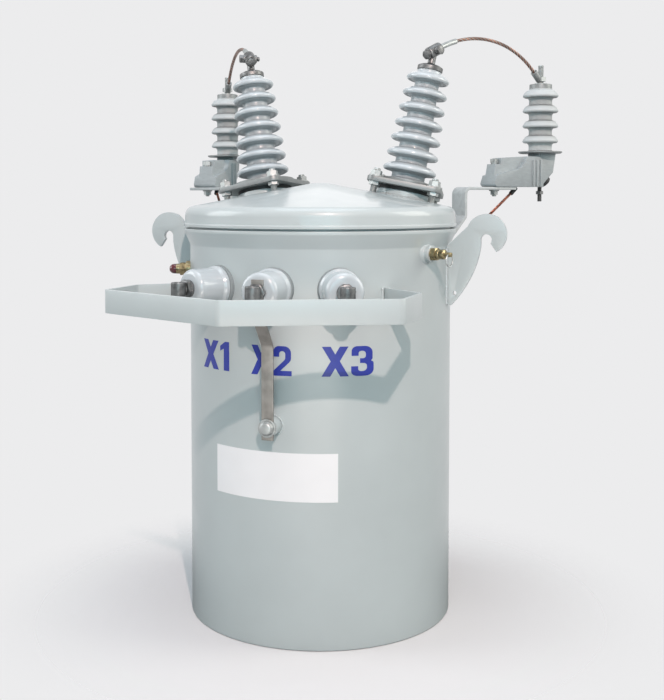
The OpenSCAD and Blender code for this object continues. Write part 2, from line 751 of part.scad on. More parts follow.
module arrester_terminal(s) {
    lug_floor = ar_lug_len - lead_seat - lead_d / 2;
    color("#8b8e8c") both(s) {
        translate([ar_x, ar_y, ar_cap_z]) {
            cylinder(r = ar_cap_r, h = ar_cap_h);
            cylinder(r = ar_stud_r, h = ar_cap_h + ar_stud_h);
            translate([0, 0, ar_cap_h]) cylinder(r = ar_nut_r, h = ar_nut_h);
        }
        translate(ar_post) along(-lead_in) difference() {
            cylinder(r = ar_lug_r, h = ar_lug_len);
            translate([0, 0, lug_floor]) cylinder(r = lead_d / 2 + fit, h = ar_lug_len);
        }
    }
}

module arrester_base(s) {
    color("#6f7675") both(s) translate([ar_x, ar_y, ar_z]) cylinder(r = ar_base_r, h = ar_base_t);
}

// Side views of the moulded bracket, as distance towards the bolt and height below its top
module bracket_neck_outline() {
    polygon([[bracket_neck.x, 0], bracket_slant_out, bracket_slant_in, [bracket_neck.y, bracket_slant_in.y],
        [bracket_neck.y, 0]]);
}

module bracket_body_outline() {
    toe = [bracket_reach, -bracket_h];
    hump = [bracket_body_at + bracket_hump_r, -bracket_top - bracket_hump_r];
    polygon(concat(arc(hump, bracket_hump_r, 90, 180, 5),
        [[bracket_body_at, -bracket_h], [toe.x - bracket_toe_r, toe.y]],
        arc(toe + [-bracket_toe_r, bracket_toe_r], bracket_toe_r, -90, 0, 4),
        [toe + [-bracket_toe_rise.x, bracket_toe_rise.y], [bracket_seat.x, -bracket_seat.y],
            [bracket_crest.x, -bracket_seat.y], [bracket_crest.x, -bracket_crest.y],
            [bracket_sweep[0].x, -bracket_top]]));
}

// Moulded bracket: a neck under the arrester, a ribbed body, and an arm whose flanks sweep down to the bolt
module arrester_bracket(s) {
    rib_w = ar_bracket_w + 2 * bracket_rib_out;
    sweep = [for (i = [0:bracket_sweep_steps]) curve(bracket_sweep[0], bracket_sweep[1], bracket_sweep[2],
        bracket_sweep[3], i / bracket_sweep_steps)];
    color("#aeb6b7") both(s) at_bracket(s) translate([0, 0, ar_z]) {
        lying(bracket_neck_w) bracket_neck_outline();
        difference() {
            lying(ar_bracket_w) bracket_body_outline();
            for (y = [-1, 1]) translate([0, y * ar_bracket_w / 2, 0]) lying(2 * bracket_shelf_w)
                polygon(concat(sweep, [[bracket_reach + past, past]]));
        }
        for (i = [0:2]) translate([bracket_rib_at + i * bracket_rib_step, -rib_w / 2, -bracket_h])
            cube([bracket_rib, rib_w, bracket_h - bracket_rib_drop]);
    }
}

// Black disc on the neck's slanted underside, with its stud straight down
module arrester_disconnector(s) {
    mid = (bracket_slant_out + bracket_slant_in) / 2;
    slant = bracket_slant_in - bracket_slant_out;
    color("#1b1d1d") both(s) at_bracket(s) translate([mid.x, 0, ar_z + mid.y]) {
        rotate([0, -atan2(slant.y, slant.x), 0]) translate([0, 0, -disc_t])
            cylinder(r = disc_r, h = disc_t - fit);
        translate([disc_stud_in, 0, -disc_stud_h]) cylinder(r = disc_stud_r, h = disc_stud_h - disc_t);
    }
}

// Strap from under the bracket, down beside the tank, and back to its foot on the wall
module arrester_strap(s) {
    top = ar_strap_z - ar_strap_t / 2;
    foot = tank_r + fit + ar_strap_t / 2;
    foot_top = ar_foot_z + ar_foot_h;
    way = strap_way(s);
    color("#9ca3a2") both(s) rotate([0, 0, atan2(way.y, way.x)]) difference() {
        lying(ar_strap_w) bent_bar([[norm(arm_bolt(s)) + ar_strap_end, top], [ar_strap_r, top],
            [ar_strap_r, foot_top + ar_strap_slope_h], [foot, foot_top], [foot, ar_foot_z]],
            ar_strap_t, ar_strap_bend_r);
        tank_body(fit);
    }
}

module arrester_ground_lead(s) {
    up = [0, 0, 1];
    from_z = ar_z - bracket_h - fit - ground_lead_r * cos(atan2(-ground_lead_start.y, ground_lead_start.x));
    from = [ar_x, ar_y, 0] + arm(s) * ground_lead_at + up * from_z;
    to = strap_way(s) * (tank_r + ar_strap_t + ground_lead_r + 2 * fit) + up * (ar_foot_z + ar_foot_h / 2);
    start = from + arm(s) * ground_lead_start.x + up * ground_lead_start.y;
    end = to + strap_way(s) * ground_lead_end.x + up * ground_lead_end.y;
    chord = to - from;
    color("#6b5d58") both(s) tube([for (i = [0:ground_lead_steps]) curve(from, start, end, to,
        i / ground_lead_steps)], ground_lead_r, [-chord.y, chord.x, 0], 8);
}

// Channel shaped hanger on the back of the tank, with a bolt hole
module hanger(z) {
    inner_w = hanger_w - 2 * hanger_plate;
    depth = hanger_reach + weld_sink;
    color("#b9c2c1") difference() {
        translate([-hanger_w / 2, tank_r - weld_sink, z - hanger_h / 2]) cube([hanger_w, depth, hanger_h]);
        translate([-inner_w / 2, tank_r - weld_sink - past, z - hanger_h])
            cube([inner_w, depth + past - hanger_plate, 2 * hanger_h]);
        translate([0, tank_r, z]) rotate([-90, 0, 0]) cylinder(d = hanger_hole_d, h = 2 * hanger_reach);
        tank_body(fit);
    }
}

module upper_hanger() { hanger(hanger_top_z); }
module lower_hanger() { hanger(hanger_top_z - hanger_span); }

tank_wall();
tank_bottom();
tank_cover();
cover_gasket();
hv_gaskets();
hv_flange(-1);  // hv_flange_left
hv_flange(1);  // hv_flange_right
hv_bushing(-1);  // hv_bushing_left
hv_bushing(1);  // hv_bushing_right
hv_terminal(-1);  // hv_terminal_left
hv_terminal(1);  // hv_terminal_right
hv_lead(-1);  // hv_lead_left
hv_lead(1);  // hv_lead_right
lv_gaskets();
lv_bushing(-lv_angle);  // lv_bushing_left
lv_bushing(0);  // lv_bushing_centre
lv_bushing(lv_angle);  // lv_bushing_right
lv_terminal(-lv_angle, true);  // lv_terminal_left
lv_terminal(0, false);  // lv_terminal_centre
lv_terminal(lv_angle, true);  // lv_terminal_right
ground_strap();
ground_boss();
bushing_guard();
lifting_hook(-1);  // lifting_hook_left
lifting_hook(1);  // lifting_hook_right
relief_boss();
relief_valve();
relief_ring();
signal_lamp_body();
signal_lamp_lens();
arrester_housing(-1);  // arrester_housing_left
arrester_housing(1);  // arrester_housing_right
arrester_terminal(-1);  // arrester_terminal_left
arrester_terminal(1);  // arrester_terminal_right
arrester_base(-1);  // arrester_base_left
arrester_base(1);  // arrester_base_right
arrester_bracket(-1);  // arrester_bracket_left
arrester_bracket(1);  // arrester_bracket_right
arrester_disconnector(-1);  // arrester_disconnector_left
arrester_disconnector(1);  // arrester_disconnector_right
arrester_strap(-1);  // arrester_strap_left
arrester_strap(1);  // arrester_strap_right
arrester_ground_lead(-1);  // arrester_ground_lead_left
arrester_ground_lead(1);  // arrester_ground_lead_right
upper_hanger();
lower_hanger();
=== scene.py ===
"""Looks of a pole mounted transformer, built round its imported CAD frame."""

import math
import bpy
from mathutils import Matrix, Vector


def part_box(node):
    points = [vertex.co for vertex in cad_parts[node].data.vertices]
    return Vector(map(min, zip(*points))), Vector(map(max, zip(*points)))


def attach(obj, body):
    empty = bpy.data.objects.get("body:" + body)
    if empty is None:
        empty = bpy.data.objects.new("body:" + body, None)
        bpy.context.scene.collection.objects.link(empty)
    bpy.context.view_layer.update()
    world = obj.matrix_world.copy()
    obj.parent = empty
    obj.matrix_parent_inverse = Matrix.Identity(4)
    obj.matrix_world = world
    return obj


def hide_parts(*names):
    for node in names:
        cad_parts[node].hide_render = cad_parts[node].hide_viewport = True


bl_info = {
    "name": "Pole mounted transformer",
    "version": (1, 0, 0),
    "blender": (4, 5, 0),
    "location": "3D View > Sidebar > Transformer",
    "description": "Dresses the CAD frame of a pole mounted transformer with finished pieces and a stage",
    "category": "Object",
}

import bmesh
import bpy
from bpy.props import FloatProperty, FloatVectorProperty, PointerProperty
from mathutils import Matrix, Vector

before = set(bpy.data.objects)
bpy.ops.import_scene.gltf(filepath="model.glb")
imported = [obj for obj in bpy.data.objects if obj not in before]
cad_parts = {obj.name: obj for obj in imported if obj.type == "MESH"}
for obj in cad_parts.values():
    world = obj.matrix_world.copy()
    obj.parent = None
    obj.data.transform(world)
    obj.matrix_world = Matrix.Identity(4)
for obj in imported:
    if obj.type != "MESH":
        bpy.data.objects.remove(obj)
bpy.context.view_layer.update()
MM = 0.001
UP = Vector((0, 0, 1))
OVER = Matrix.Rotation(math.pi, 4, "X")

# Sizes that several pieces share, in millimetres
SHEET = 3           # the tank's steel sheet
NECK_R = 47         # a high voltage bushing's neck and the porcelain's foot on it
FLANGE_LOW = 6      # underside of the clamp flange above the neck
FLANGE_TOP = 14
COLLAR_TOP = 19     # top of the flange's collar
EYE_RISE = 33       # middle of the terminal's eye above the porcelain
EYE_HALF = 14       # half the length of the eye's barrel
LUG_RISE = 16       # foot of the arrester's lug above the housing
LUG_LENGTH = 26
INSERTED = 12       # how far a jumper goes into its eye or lug
CORE_R = 20.5       # core of the arrester's housing
BASE_T = 4          # the arrester's base disc
STRAP_BOLT = 101    # bolt through bracket and strap, from the arrester's axis
SHED_GAP = 24       # how far a shed's surface looks for open sky
FILM = 0.25         # outer face of paint and label above the wall
FILM_BACK = 0.05

# Angles in degrees: an edge that bends more stays sharp
CREASE = 34
SHED_CREASE = 50
LENS_CREASE = 60


def linear(hex_colour):
    """sRGB hex text to linear RGB with an alpha of 1."""
    channels = [int(hex_colour[i:i + 2], 16) / 255 for i in (1, 3, 5)]
    return [c / 12.92 if c <= 0.04045 else ((c + 0.055) / 1.055) ** 2.4 for c in channels] + [1.0]


def length(name, description, millimetres):
    """A size that a user may change, kept in metres."""
    return FloatProperty(name=name, description=description, default=millimetres * MM, unit="LENGTH")


def angle(name, description, degrees):
    """An angle that a user may change, kept in radians."""
    return FloatProperty(name=name, description=description, default=math.radians(degrees), unit="ROTATION")


def colour(name, description, hex_colour):
    """A colour that a user may change, kept linear."""
    return FloatVectorProperty(name=name, description=description, default=linear(hex_colour), size=4,
                               subtype="COLOR", min=0.0, max=1.0)


class TransformerSizes(bpy.types.PropertyGroup):
    """Driving sizes, the same as those of the CAD frame."""
    tank_r: length("Tank radius", "Outside radius of the tank wall", 210)
    skirt_z: length("Skirt height", "Height of the cover skirt's lower edge", 618)
    skirt_h: length("Skirt", "Height of the cover skirt with its shoulder", 33)
    skirt_out: length("Skirt overhang", "How far the skirt stands out from the wall", 8)
    shoulder_r: length("Shoulder radius", "Radius of the cover's rounded shoulder", 18)
    cover_slope: angle("Cover slope", "Slope of the conical cover", 10.7)
    hv_inset: length("Bushing inset", "Distance of the bushing's foot inside the wall", 69)
    hv_angle: angle("Bushing angle", "Angle of each bushing behind the sideways direction", 28.9)
    hv_lean_out: angle("Lean sideways", "Lean of each bushing to its own side", 9.8)
    hv_lean_back: angle("Lean back", "Lean of each bushing to the back", 7)
    hv_neck_h: length("Neck height", "Height of the welded neck above the cover", 8)
    hv_h: length("Bushing height", "Height of the porcelain above its seat", 206)
    hv_pitch: length("Bushing pitch", "Distance between the bushing's sheds", 25.4)
    hv_bolt_gap: length("Flange bolts", "Distance between neighbouring bolts of the clamp flange", 95)
    hv_flange_turn: angle("Flange turn", "Turn of the square clamp flange about the bushing", 10)
    lv_drop: length("Terminal drop", "Height of the low voltage bushings below the skirt", 87)
    lv_angle: angle("Terminal spacing", "Angle between neighbouring low voltage bushings", 26.7)
    lv_r: length("Terminal porcelain", "Radius of the low voltage porcelain", 28)
    lv_reach: length("Terminal reach", "How far the low voltage porcelain stands out", 57)
    ar_reach: length("Arrester reach", "Distance of the arrester's axis from the wall", 236)
    ar_angle: angle("Arrester angle", "Angle of each arrester behind the sideways direction", 46.5)
    ar_rise: length("Arrester rise", "Height of the bracket's top above the skirt", 124)
    ar_h: length("Arrester height", "Height of the arrester's housing", 112)
    ar_pitch: length("Arrester pitch", "Distance between the arrester's sheds", 27)
    ar_left_turn: angle("Left bracket turn", "Turn of the left bracket about its arrester", 42)
    relief_angle: angle("Valve angle", "Angle of the relief valve from the front", 69)
    relief_drop: length("Valve drop", "Height of the relief valve below the skirt", 39)
    lamp_angle: angle("Lamp angle", "Angle of the signal lamp from the front", -70)
    lamp_drop: length("Lamp drop", "Height of the signal lamp below the skirt", 70)
    lead_r: length("Lead radius", "Radius of the stranded jumper leads", 3)


class TransformerColours(bpy.types.PropertyGroup):
    """Colours of the finishes."""
    enamel: colour("Enamel", "Light grey enamel of the tank", "#b8c2c3")
    porcelain: colour("Porcelain", "Sky grey glaze", "#bfc8cc")
    polymer: colour("Silicone rubber", "Pale grey arrester housing", "#c2c9ca")
    moulding: colour("Moulding", "Grey polyester bracket", "#9ea7a9")
    zinc: colour("Zinc", "Galvanised bolts and rings", "#adb1b0")
    weathered: colour("Weathered zinc", "Galvanised plates and caps that have dulled", "#8b8f8f")
    carbonate: colour("Zinc carbonate", "Galvanised straps under their pale bloom", "#b8bfc0")
    tin: colour("Tin", "Tinned bronze castings", "#7f8080")
    strip: colour("Strip", "Tinned copper strip", "#9d9a95")
    copper: colour("Copper", "Drawn copper strands", "#966657")
    brass: colour("Brass", "Turned brass", "#a09372")
    neoprene: colour("Neoprene", "Grey wall gaskets", "#8b9395")
    rubber: colour("Rubber", "Gasket rubber and black plastic", "#1c1e1f")
    lens: colour("Lens", "Dark red lamp lens", "#5a0f1c")
    marking: colour("Marking", "Blue stencil paint", "#263596")
    label: colour("Label", "White vinyl label", "#eceef0")
    backdrop: colour("Backdrop", "Pale floor and background", "#ececed")


# Materials

def feed(tree, node, inputs):
    """Sets or links inputs of a node."""
    for key, value in inputs.items():
        if isinstance(value, bpy.types.NodeSocket):
            tree.links.new(value, node.inputs[key])
        else:
            node.inputs[key].default_value = value


def add(tree, kind, inputs=None, **settings):
    """Adds one node with its settings, and sets or links its inputs."""
    node = tree.nodes.new("ShaderNode" + kind)
    for key, value in settings.items():
        setattr(node, key, value)
    feed(tree, node, inputs or {})
    return node


def cells(millimetres):
    """Texture scale whose features are about that size."""
    return 1.0 / (millimetres * MM)


def shade(rgba, factor):
    """A colour made lighter or darker."""
    return [min(1.0, c * factor) for c in rgba[:3]] + [1.0]


def start(name):
    """A new material with its tree, its Principled shader and the object's coordinates."""
    material = bpy.data.materials.new(name)
    material.use_nodes = True
    tree = material.node_tree
    tree.nodes.clear()
    surface = add(tree, "BsdfPrincipled")
    add(tree, "OutputMaterial", {"Surface": surface.outputs[0]})
    return material, tree, surface, add(tree, "TexCoord").outputs["Object"]


def clouds(tree, place, size, detail, tint, shades, span=(0.0, 1.0)):
    """Height and colour of clouds, about a size in millimetres, between two shades of a tint."""
    noise = add(tree, "TexNoise", {"Vector": place, "Scale": cells(size), "Detail": detail})
    tone = add(tree, "ValToRGB", {"Fac": noise.outputs["Fac"]})
    for element, position, factor in zip(tone.color_ramp.elements, span, shades):
        element.position = position
        element.color = shade(tint, factor)
    return noise.outputs["Fac"], tone.outputs["Color"]


def clouded(name, looks, *pattern, relief=None):
    """A material of one pattern of clouds; relief is its bump's strength and depth in millimetres."""
    material, tree, surface, place = start(name)
    height, tone = clouds(tree, place, *pattern)
    feed(tree, surface, {"Base Color": tone, **looks})
    if relief:
        bump = add(tree, "Bump", {"Height": height, "Strength": relief[0], "Distance": relief[1] * MM})
        feed(tree, surface, {"Normal": bump.outputs["Normal"]})
    return material


def enamel(c):
    """Sprayed alkyd enamel on upright sheet: soft highlights."""
    return paint("sprayed_enamel", c.enamel, 0.30)


def flowed(c):
    """The same enamel where it lay flat and flowed out: highlights with an edge."""
    return paint("flowed_enamel", c.enamel, 0.07)


def paint(name, tint, blur):
    """Alkyd enamel: faint orange peel and slight clouds in its tone, under a skin that blurs reflections."""
    material, tree, surface, place = start(name)
    _, tone = clouds(tree, place, 140, 3.0, tint, (0.95, 1.04), (0.3, 0.7))
    # Real orange peel is about 2 mm across; 6 mm is as fine as shows at this distance
    peel = add(tree, "TexNoise", {"Vector": place, "Scale": cells(6), "Detail": 1.0})
    bump = add(tree, "Bump", {"Height": peel.outputs["Fac"], "Strength": 0.10, "Distance": 0.4 * MM})
    dust = add(tree, "TexNoise", {"Vector": place, "Scale": cells(30), "Detail": 4.0})
    gloss = add(tree, "MapRange", {"Value": dust.outputs["Fac"], "From Min": 0.3, "From Max": 0.7,
                                   "To Min": 0.30, "To Max": 0.40})
    feed(tree, surface, {"Base Color": tone, "Roughness": gloss.outputs["Result"], "IOR": 1.5,
                         "Coat Weight": 0.5, "Coat Roughness": blur, "Normal": bump.outputs["Normal"]})
    return material


def porcelain(c):
    """Glazed electrical porcelain: bright highlights on a pooled glaze, and painted shade that darkens its
    colour between the sheds, where the glaze is also duller.
    """
    material, tree, surface, place = start("glazed_porcelain")
    pool, tone = clouds(tree, place, 18, 2.0, c.porcelain, (0.94, 1.04))
    bump = add(tree, "Bump", {"Height": pool, "Strength": 0.08, "Distance": 0.5 * MM})
    # Painted shade: a place that is open to the sky keeps its colour, and the hollows between the sheds are
    # darkened towards the core
    sky = add(tree, "AmbientOcclusion", {"Distance": SHED_GAP * MM}, only_local=True, samples=8)
    openness = add(tree, "MapRange", {"Value": sky.outputs["AO"], "From Min": 0.30, "From Max": 0.76})
    openness = openness.outputs["Result"]
    # Painted shade: the colour falls to 0.42 of itself deep between the sheds; roughness and coat follow the
    # same openness
    painted_shade = add(tree, "MapRange", {"Value": openness, "To Min": 0.42})
    shaded_tone = add(tree, "VectorMath", {0: tone, 1: painted_shade.outputs["Result"]}, operation="MULTIPLY")
    gloss = add(tree, "MapRange", {"Value": openness, "To Min": 0.62, "To Max": 0.2})
    glaze = add(tree, "MapRange", {"Value": openness, "From Min": 0.5, "To Max": 0.6})
    feed(tree, surface, {"Base Color": shaded_tone.outputs["Vector"], "Roughness": gloss.outputs["Result"],
                         "IOR": 1.52, "Coat Weight": glaze.outputs["Result"], "Coat Roughness": 0.06,
                         "Normal": bump.outputs["Normal"]})
    return material


def silicone(c):
    """Moulded silicone rubber: pale and satin, with a faint bloom, and painted shade between the sheds."""
    material, tree, surface, place = start("moulded_silicone")
    bloom, tone = clouds(tree, place, 12, 4.0, c.polymer, (0.92, 1.05))
    bump = add(tree, "Bump", {"Height": bloom, "Strength": 0.1, "Distance": 0.3 * MM})
    # Painted shade: where the sky is hidden between the sheds, the colour falls to 0.22 of itself
    sky = add(tree, "AmbientOcclusion", {"Distance": SHED_GAP * MM}, only_local=True, samples=8)
    openness = add(tree, "MapRange", {"Value": sky.outputs["AO"], "From Min": 0.53, "From Max": 0.91,
                                   "To Min": 0.22})
    shaded_tone = add(tree, "VectorMath", {0: tone, 1: openness.outputs["Result"]}, operation="MULTIPLY")
    feed(tree, surface, {"Base Color": shaded_tone.outputs["Vector"], "Roughness": 0.45, "IOR": 1.42,
                         "Normal": bump.outputs["Normal"]})
    return material


def polyester(c):
    """Compression moulded glass polyester: grey, with short pale fibres under a dull skin."""
    material, tree, surface, place = start("glass_polyester")
    stretch = add(tree, "Mapping", {"Vector": place, "Scale": (1.0, 1.0, 3.0)})
    fibres, tone = clouds(tree, stretch.outputs["Vector"], 9, 6.0, c.moulding, (0.94, 1.05), (0.35, 0.68))
    bump = add(tree, "Bump", {"Height": fibres, "Strength": 0.12, "Distance": 0.3 * MM})
    feed(tree, surface, {"Base Color": tone, "Roughness": 0.42, "IOR": 1.5, "Normal": bump.outputs["Normal"]})
    return material


def galvanised(c):
    """Hot dip galvanised steel: crystal spangle in slightly different greys, half dull."""
    return zinc_skin("galvanised_steel", c.zinc, 0.9)


def weathered(c):
    """Galvanised steel that has stood outside: the same spangle, darker."""
    return zinc_skin("weathered_zinc", c.weathered, 0.6)


def carbonate(c):
    """Galvanised strip with its bloom of zinc carbonate: pale, nearly without shine."""
    return zinc_skin("zinc_carbonate", c.carbonate, 0.15)


def zinc_skin(name, tint, bare):
    """Zinc whose crystals differ in tone and gloss; bare is the share that isn't under a dull bloom."""
    material, tree, surface, place = start(name)
    spangle = add(tree, "TexVoronoi", {"Vector": place, "Scale": cells(7)}).outputs["Color"]
    tone = add(tree, "ValToRGB", {"Fac": spangle})
    tone.color_ramp.elements[0].color = shade(tint, 0.84)
    tone.color_ramp.elements[1].color = shade(tint, 1.08)
    gloss = add(tree, "MapRange", {"Value": spangle, "To Min": 0.40, "To Max": 0.56})
    grit = add(tree, "TexNoise", {"Vector": place, "Scale": cells(2.5), "Detail": 3.0})
    bump = add(tree, "Bump", {"Height": grit.outputs["Fac"], "Strength": 0.15, "Distance": 0.2 * MM})
    feed(tree, surface, {"Base Color": tone.outputs["Color"], "Metallic": bare,
                         "Roughness": gloss.outputs["Result"], "Normal": bump.outputs["Normal"]})
    return material


def tinned(c):
    """Tinned bronze casting: soft grey metal with darker worn patches."""
    material, tree, surface, place = start("tinned_bronze")
    _, tone = clouds(tree, place, 8, 5.0, c.tin, (0.55, 1.0), (0.34, 0.58))
    grain = add(tree, "TexNoise", {"Vector": place, "Scale": cells(1.6), "Detail": 2.0})
    bump = add(tree, "Bump", {"Height": grain.outputs["Fac"], "Strength": 0.2, "Distance": 0.2 * MM})
    feed(tree, surface, {"Base Color": tone, "Metallic": 1.0, "Roughness": 0.44,
                         "Normal": bump.outputs["Normal"]})
    return material


def strip(c):
    """Tinned copper strip: pale dull metal, darker where the tin is thin."""
    return clouded("tinned_copper_strip", {"Metallic": 1.0, "Roughness": 0.5},
                   14, 3.0, c.strip, (0.8, 1.0), (0.35, 0.65))


def copper(c):
    """Drawn copper wire: warm red metal, dulled brown where it has tarnished."""
    return clouded("drawn_copper", {"Metallic": 1.0, "Roughness": 0.42},
                   10, 3.0, c.copper, (0.55, 1.0), (0.35, 0.6))


def brass(c):
    """Turned brass: yellow metal with patches of a brown film."""
    return clouded("turned_brass", {"Metallic": 1.0, "Roughness": 0.28},
                   6, 3.0, c.brass, (0.45, 1.0), (0.36, 0.56))


def neoprene(c):
    """Grey neoprene: dull, with a faint mottle of talc."""
    return clouded("grey_neoprene", {"Roughness": 0.65, "IOR": 1.5}, 4, 3.0, c.neoprene, (0.85, 1.1))


def rubber(c):
    """Black nitrile rubber and moulded plastic: nearly black, with a dull grain."""
    return clouded("black_nitrile", {"Roughness": 0.6, "IOR": 1.5}, 2, 3.0, c.rubber, (0.7, 1.5),
                   relief=(0.2, 0.2))


def lens(c):
    """Moulded acrylic lens: deep red with a sharp highlight, and ribs that spread the light."""
    material, tree, surface, place = start("acrylic_lens")
    ribs = add(tree, "TexWave", {"Vector": place, "Scale": cells(12)})
    bump = add(tree, "Bump", {"Height": ribs.outputs["Fac"], "Strength": 0.2, "Distance": 0.2 * MM})
    feed(tree, surface, {"Base Color": list(c.lens), "Roughness": 0.12, "IOR": 1.49, "Coat Weight": 0.5,
                         "Normal": bump.outputs["Normal"]})
    return material


def stencil(c):
    """Stencilled marking paint: flat blue, a little thin where the stencil lifted."""
    return clouded("stencil_paint", {"Roughness": 0.4, "IOR": 1.5}, 5, 4.0, c.marking, (0.85, 1.15))


def vinyl(c):
    """Cast vinyl label: white satin film with faint waves where it was pressed on."""
    return clouded("cast_vinyl", {"Roughness": 0.35, "IOR": 1.45}, 40, 1.0, c.label, (0.97, 1.02),
                   relief=(0.06, 0.5))


FINISHES = {make.__name__: make for make in (
    enamel, flowed, porcelain, silicone, polyester, galvanised, weathered, carbonate, tinned, strip, copper,
    brass, neoprene, rubber, lens, stencil, vinyl)}
MADE = {}


def finish(name):
    """The material of that name, made once."""
    if name not in MADE:
        MADE[name] = FINISHES[name](bpy.context.scene.transformer_colours)
    return MADE[name]


# Places

def shift(x, y, z):
    """Translation in millimetres."""
    return Matrix.Translation((x * MM, y * MM, z * MM))


def spin(degrees):
    """Turn about local z."""
    return Matrix.Rotation(math.radians(degrees), 4, "Z")


def facing(spot, way):
    """Frame at a spot, with local z along a direction."""
    return Matrix.Translation(spot) @ way.to_track_quat("Z", "Y").to_matrix().to_4x4()


def on_wall(turn_by, height):
    """Frame on the tank's axis: local z points at the wall, local y up."""
    return (Matrix.Rotation(turn_by, 4, "Z") @ Matrix.Translation((0, 0, height))
            @ Matrix.Rotation(math.radians(90), 4, "X"))


def cone_z(s, radius):
    """Height of the conical cover at a distance from the axis."""
    start_r = s.tank_r + s.skirt_out - s.shoulder_r * (1 - math.sin(s.cover_slope))
    start_z = s.skirt_z + s.skirt_h - s.shoulder_r * (1 - math.cos(s.cover_slope))
    return start_z + (start_r - radius) * math.tan(s.cover_slope)


def above_cone(s, point):
    """Height of a point above the conical cover."""
    return point.z - cone_z(s, point.xy.length)


def at_hv(s):
    """Frame on the seat of the right high voltage bushing, with local z along its axis."""
    radius = s.tank_r - s.hv_inset
    seat = Vector((radius * math.cos(s.hv_angle), radius * math.sin(s.hv_angle),
                   cone_z(s, radius) + s.hv_neck_h))
    return (Matrix.Translation(seat) @ Matrix.Rotation(s.hv_lean_out, 4, "Y")
            @ Matrix.Rotation(-s.hv_lean_back, 4, "X"))


def at_arrester(s):
    """Frame on the right arrester's axis at the bracket's top, with local x towards the tank."""
    radius = s.tank_r + s.ar_reach
    spot = Vector((radius * math.cos(s.ar_angle), radius * math.sin(s.ar_angle), s.skirt_z + s.ar_rise))
    return Matrix.Translation(spot) @ Matrix.Rotation(s.ar_angle + math.pi, 4, "Z")


def at_arm(s, side):
    """Frame like at_arrester's, with local x along that side's bracket; the left one is mirrored."""
    if side == "right":
        return at_arrester(s)
    return Matrix.Diagonal((-1, 1, 1, 1)) @ at_arrester(s) @ Matrix.Rotation(s.ar_left_turn, 4, "Z")


# Shapes. Outlines and sizes are in millimetres, and a matrix puts them in place

def fillet(corners, closed=False):
    """Rounds an outline's corners; a corner is x, y and, where it is round, a radius."""
    line = []
    count = len(corners)
    straight, arc_step, room = math.radians(89.5), math.radians(14), 0.49
    for i, corner in enumerate(corners):
        here = Vector(corner[:2])
        back = Vector(corners[i - 1][:2]) - here
        ahead = Vector(corners[(i + 1) % count][:2]) - here
        half = back.angle(ahead) / 2
        if len(corner) < 3 or not (closed or 0 < i < count - 1) or half > straight:
            line.append(here)
            continue
        cut = min(corner[2] / math.tan(half), room * back.length, room * ahead.length)
        centre = here + (back.normalized() + ahead.normalized()).normalized() * cut / math.cos(half)
        first = here + back.normalized() * cut - centre
        last = here + ahead.normalized() * cut - centre
        sweep = math.atan2(first.x * last.y - first.y * last.x, first.dot(last))
        steps = max(2, math.ceil(abs(sweep) / arc_step))
        line += [centre + Matrix.Rotation(sweep * k / steps, 2) @ first for k in range(steps + 1)]
    return line


def skin(bm, rings, material=0, ends=True, closed=False):
    """Joins rings of vertices with faces; ends fills the first and last ring, closed joins them."""
    faces = [bm.faces.new(rings[0][::-1]), bm.faces.new(rings[-1])] if ends else []
    segments = max(len(ring) for ring in rings)
    for low, high in zip(rings, rings[1:] + rings[:1] if closed else rings[1:]):
        for k in range(segments):
            n = k + 1
            ring = [low[k % len(low)], low[n % len(low)], high[n % len(high)], high[k % len(high)]]
            corners = list(dict.fromkeys(ring))
            if len(corners) > 2:
                faces.append(bm.faces.new(corners))
    for face in faces:
        face.material_index = material


def turn(bm, outline, at=Matrix(), segments=64, material=0, closed=False):
    """Revolves an outline of radius and height about local z; on the axis a ring is one point."""
    rings = []
    for radius, height in fillet(outline, closed):
        count = segments if radius > 1e-6 else 1
        rings.append([bm.verts.new(at @ (Vector((radius * math.cos(math.tau * k / segments),
                                                 radius * math.sin(math.tau * k / segments), height)) * MM))
                      for k in range(count)])
    skin(bm, rings, material, ends=False, closed=closed)


def prism(bm, outline, low, high, at):
    """Extrudes a closed outline along local z."""
    skin(bm, [[bm.verts.new(at @ (Vector((x, y, z)) * MM)) for x, y in fillet(outline, True)]
              for z in (low, high)])


def circle(count, radius):
    """Points in metres round local z, with the first one again at the end."""
    return [Vector((math.cos(math.tau * k / count), math.sin(math.tau * k / count), 0)) * radius * MM
            for k in range(count + 1)]


def bezier(a, b, c, d, steps):
    """Points of a cubic curve."""
    return [a * (1 - t) ** 3 + b * 3 * t * (1 - t) ** 2 + c * 3 * t * t * (1 - t) + d * t ** 3
            for t in (i / steps for i in range(steps + 1))]


def frames(path):
    """Two normals at each point of a path, carried along without twist."""
    last = len(path) - 1
    tangents = [(path[min(i + 1, last)] - path[max(i - 1, 0)]).normalized() for i in range(last + 1)]
    side = tangents[0].orthogonal().normalized()
    result = []
    for tangent in tangents:
        side = (side - tangent * side.dot(tangent)).normalized()
        result.append((side, tangent.cross(side)))
    return result


def tube(bm, path, radius, sides, material=0, ripple=0.0):
    """A round tube along points in metres, with closed ends; ripple makes it bead like a weld."""
    rings = []
    for i, (point, (side, up)) in enumerate(zip(path, frames(path))):
        r = radius * MM * (1 + ripple * math.sin(i * math.pi / 2))
        rings.append([bm.verts.new(point + r * (side * math.cos(math.tau * k / sides)
                                                + up * math.sin(math.tau * k / sides)))
                      for k in range(sides)])
    skin(bm, rings, material)


def stranded(bm, path, radius, turns, pale=()):
    """Six wires laid round a core wire along a path; those listed in pale take the second material."""
    wires, sides = 6, 6
    wire = radius * 0.36
    lay = (radius - wire) * MM
    tube(bm, path, wire, sides)
    for w in range(wires):
        route = []
        for i, (point, (side, up)) in enumerate(zip(path, frames(path))):
            phi = math.tau * (w / wires + turns * i / (len(path) - 1))
            route.append(point + lay * (side * math.cos(phi) + up * math.sin(phi)))
        tube(bm, route, wire, sides, material=1 if w in pale else 0)


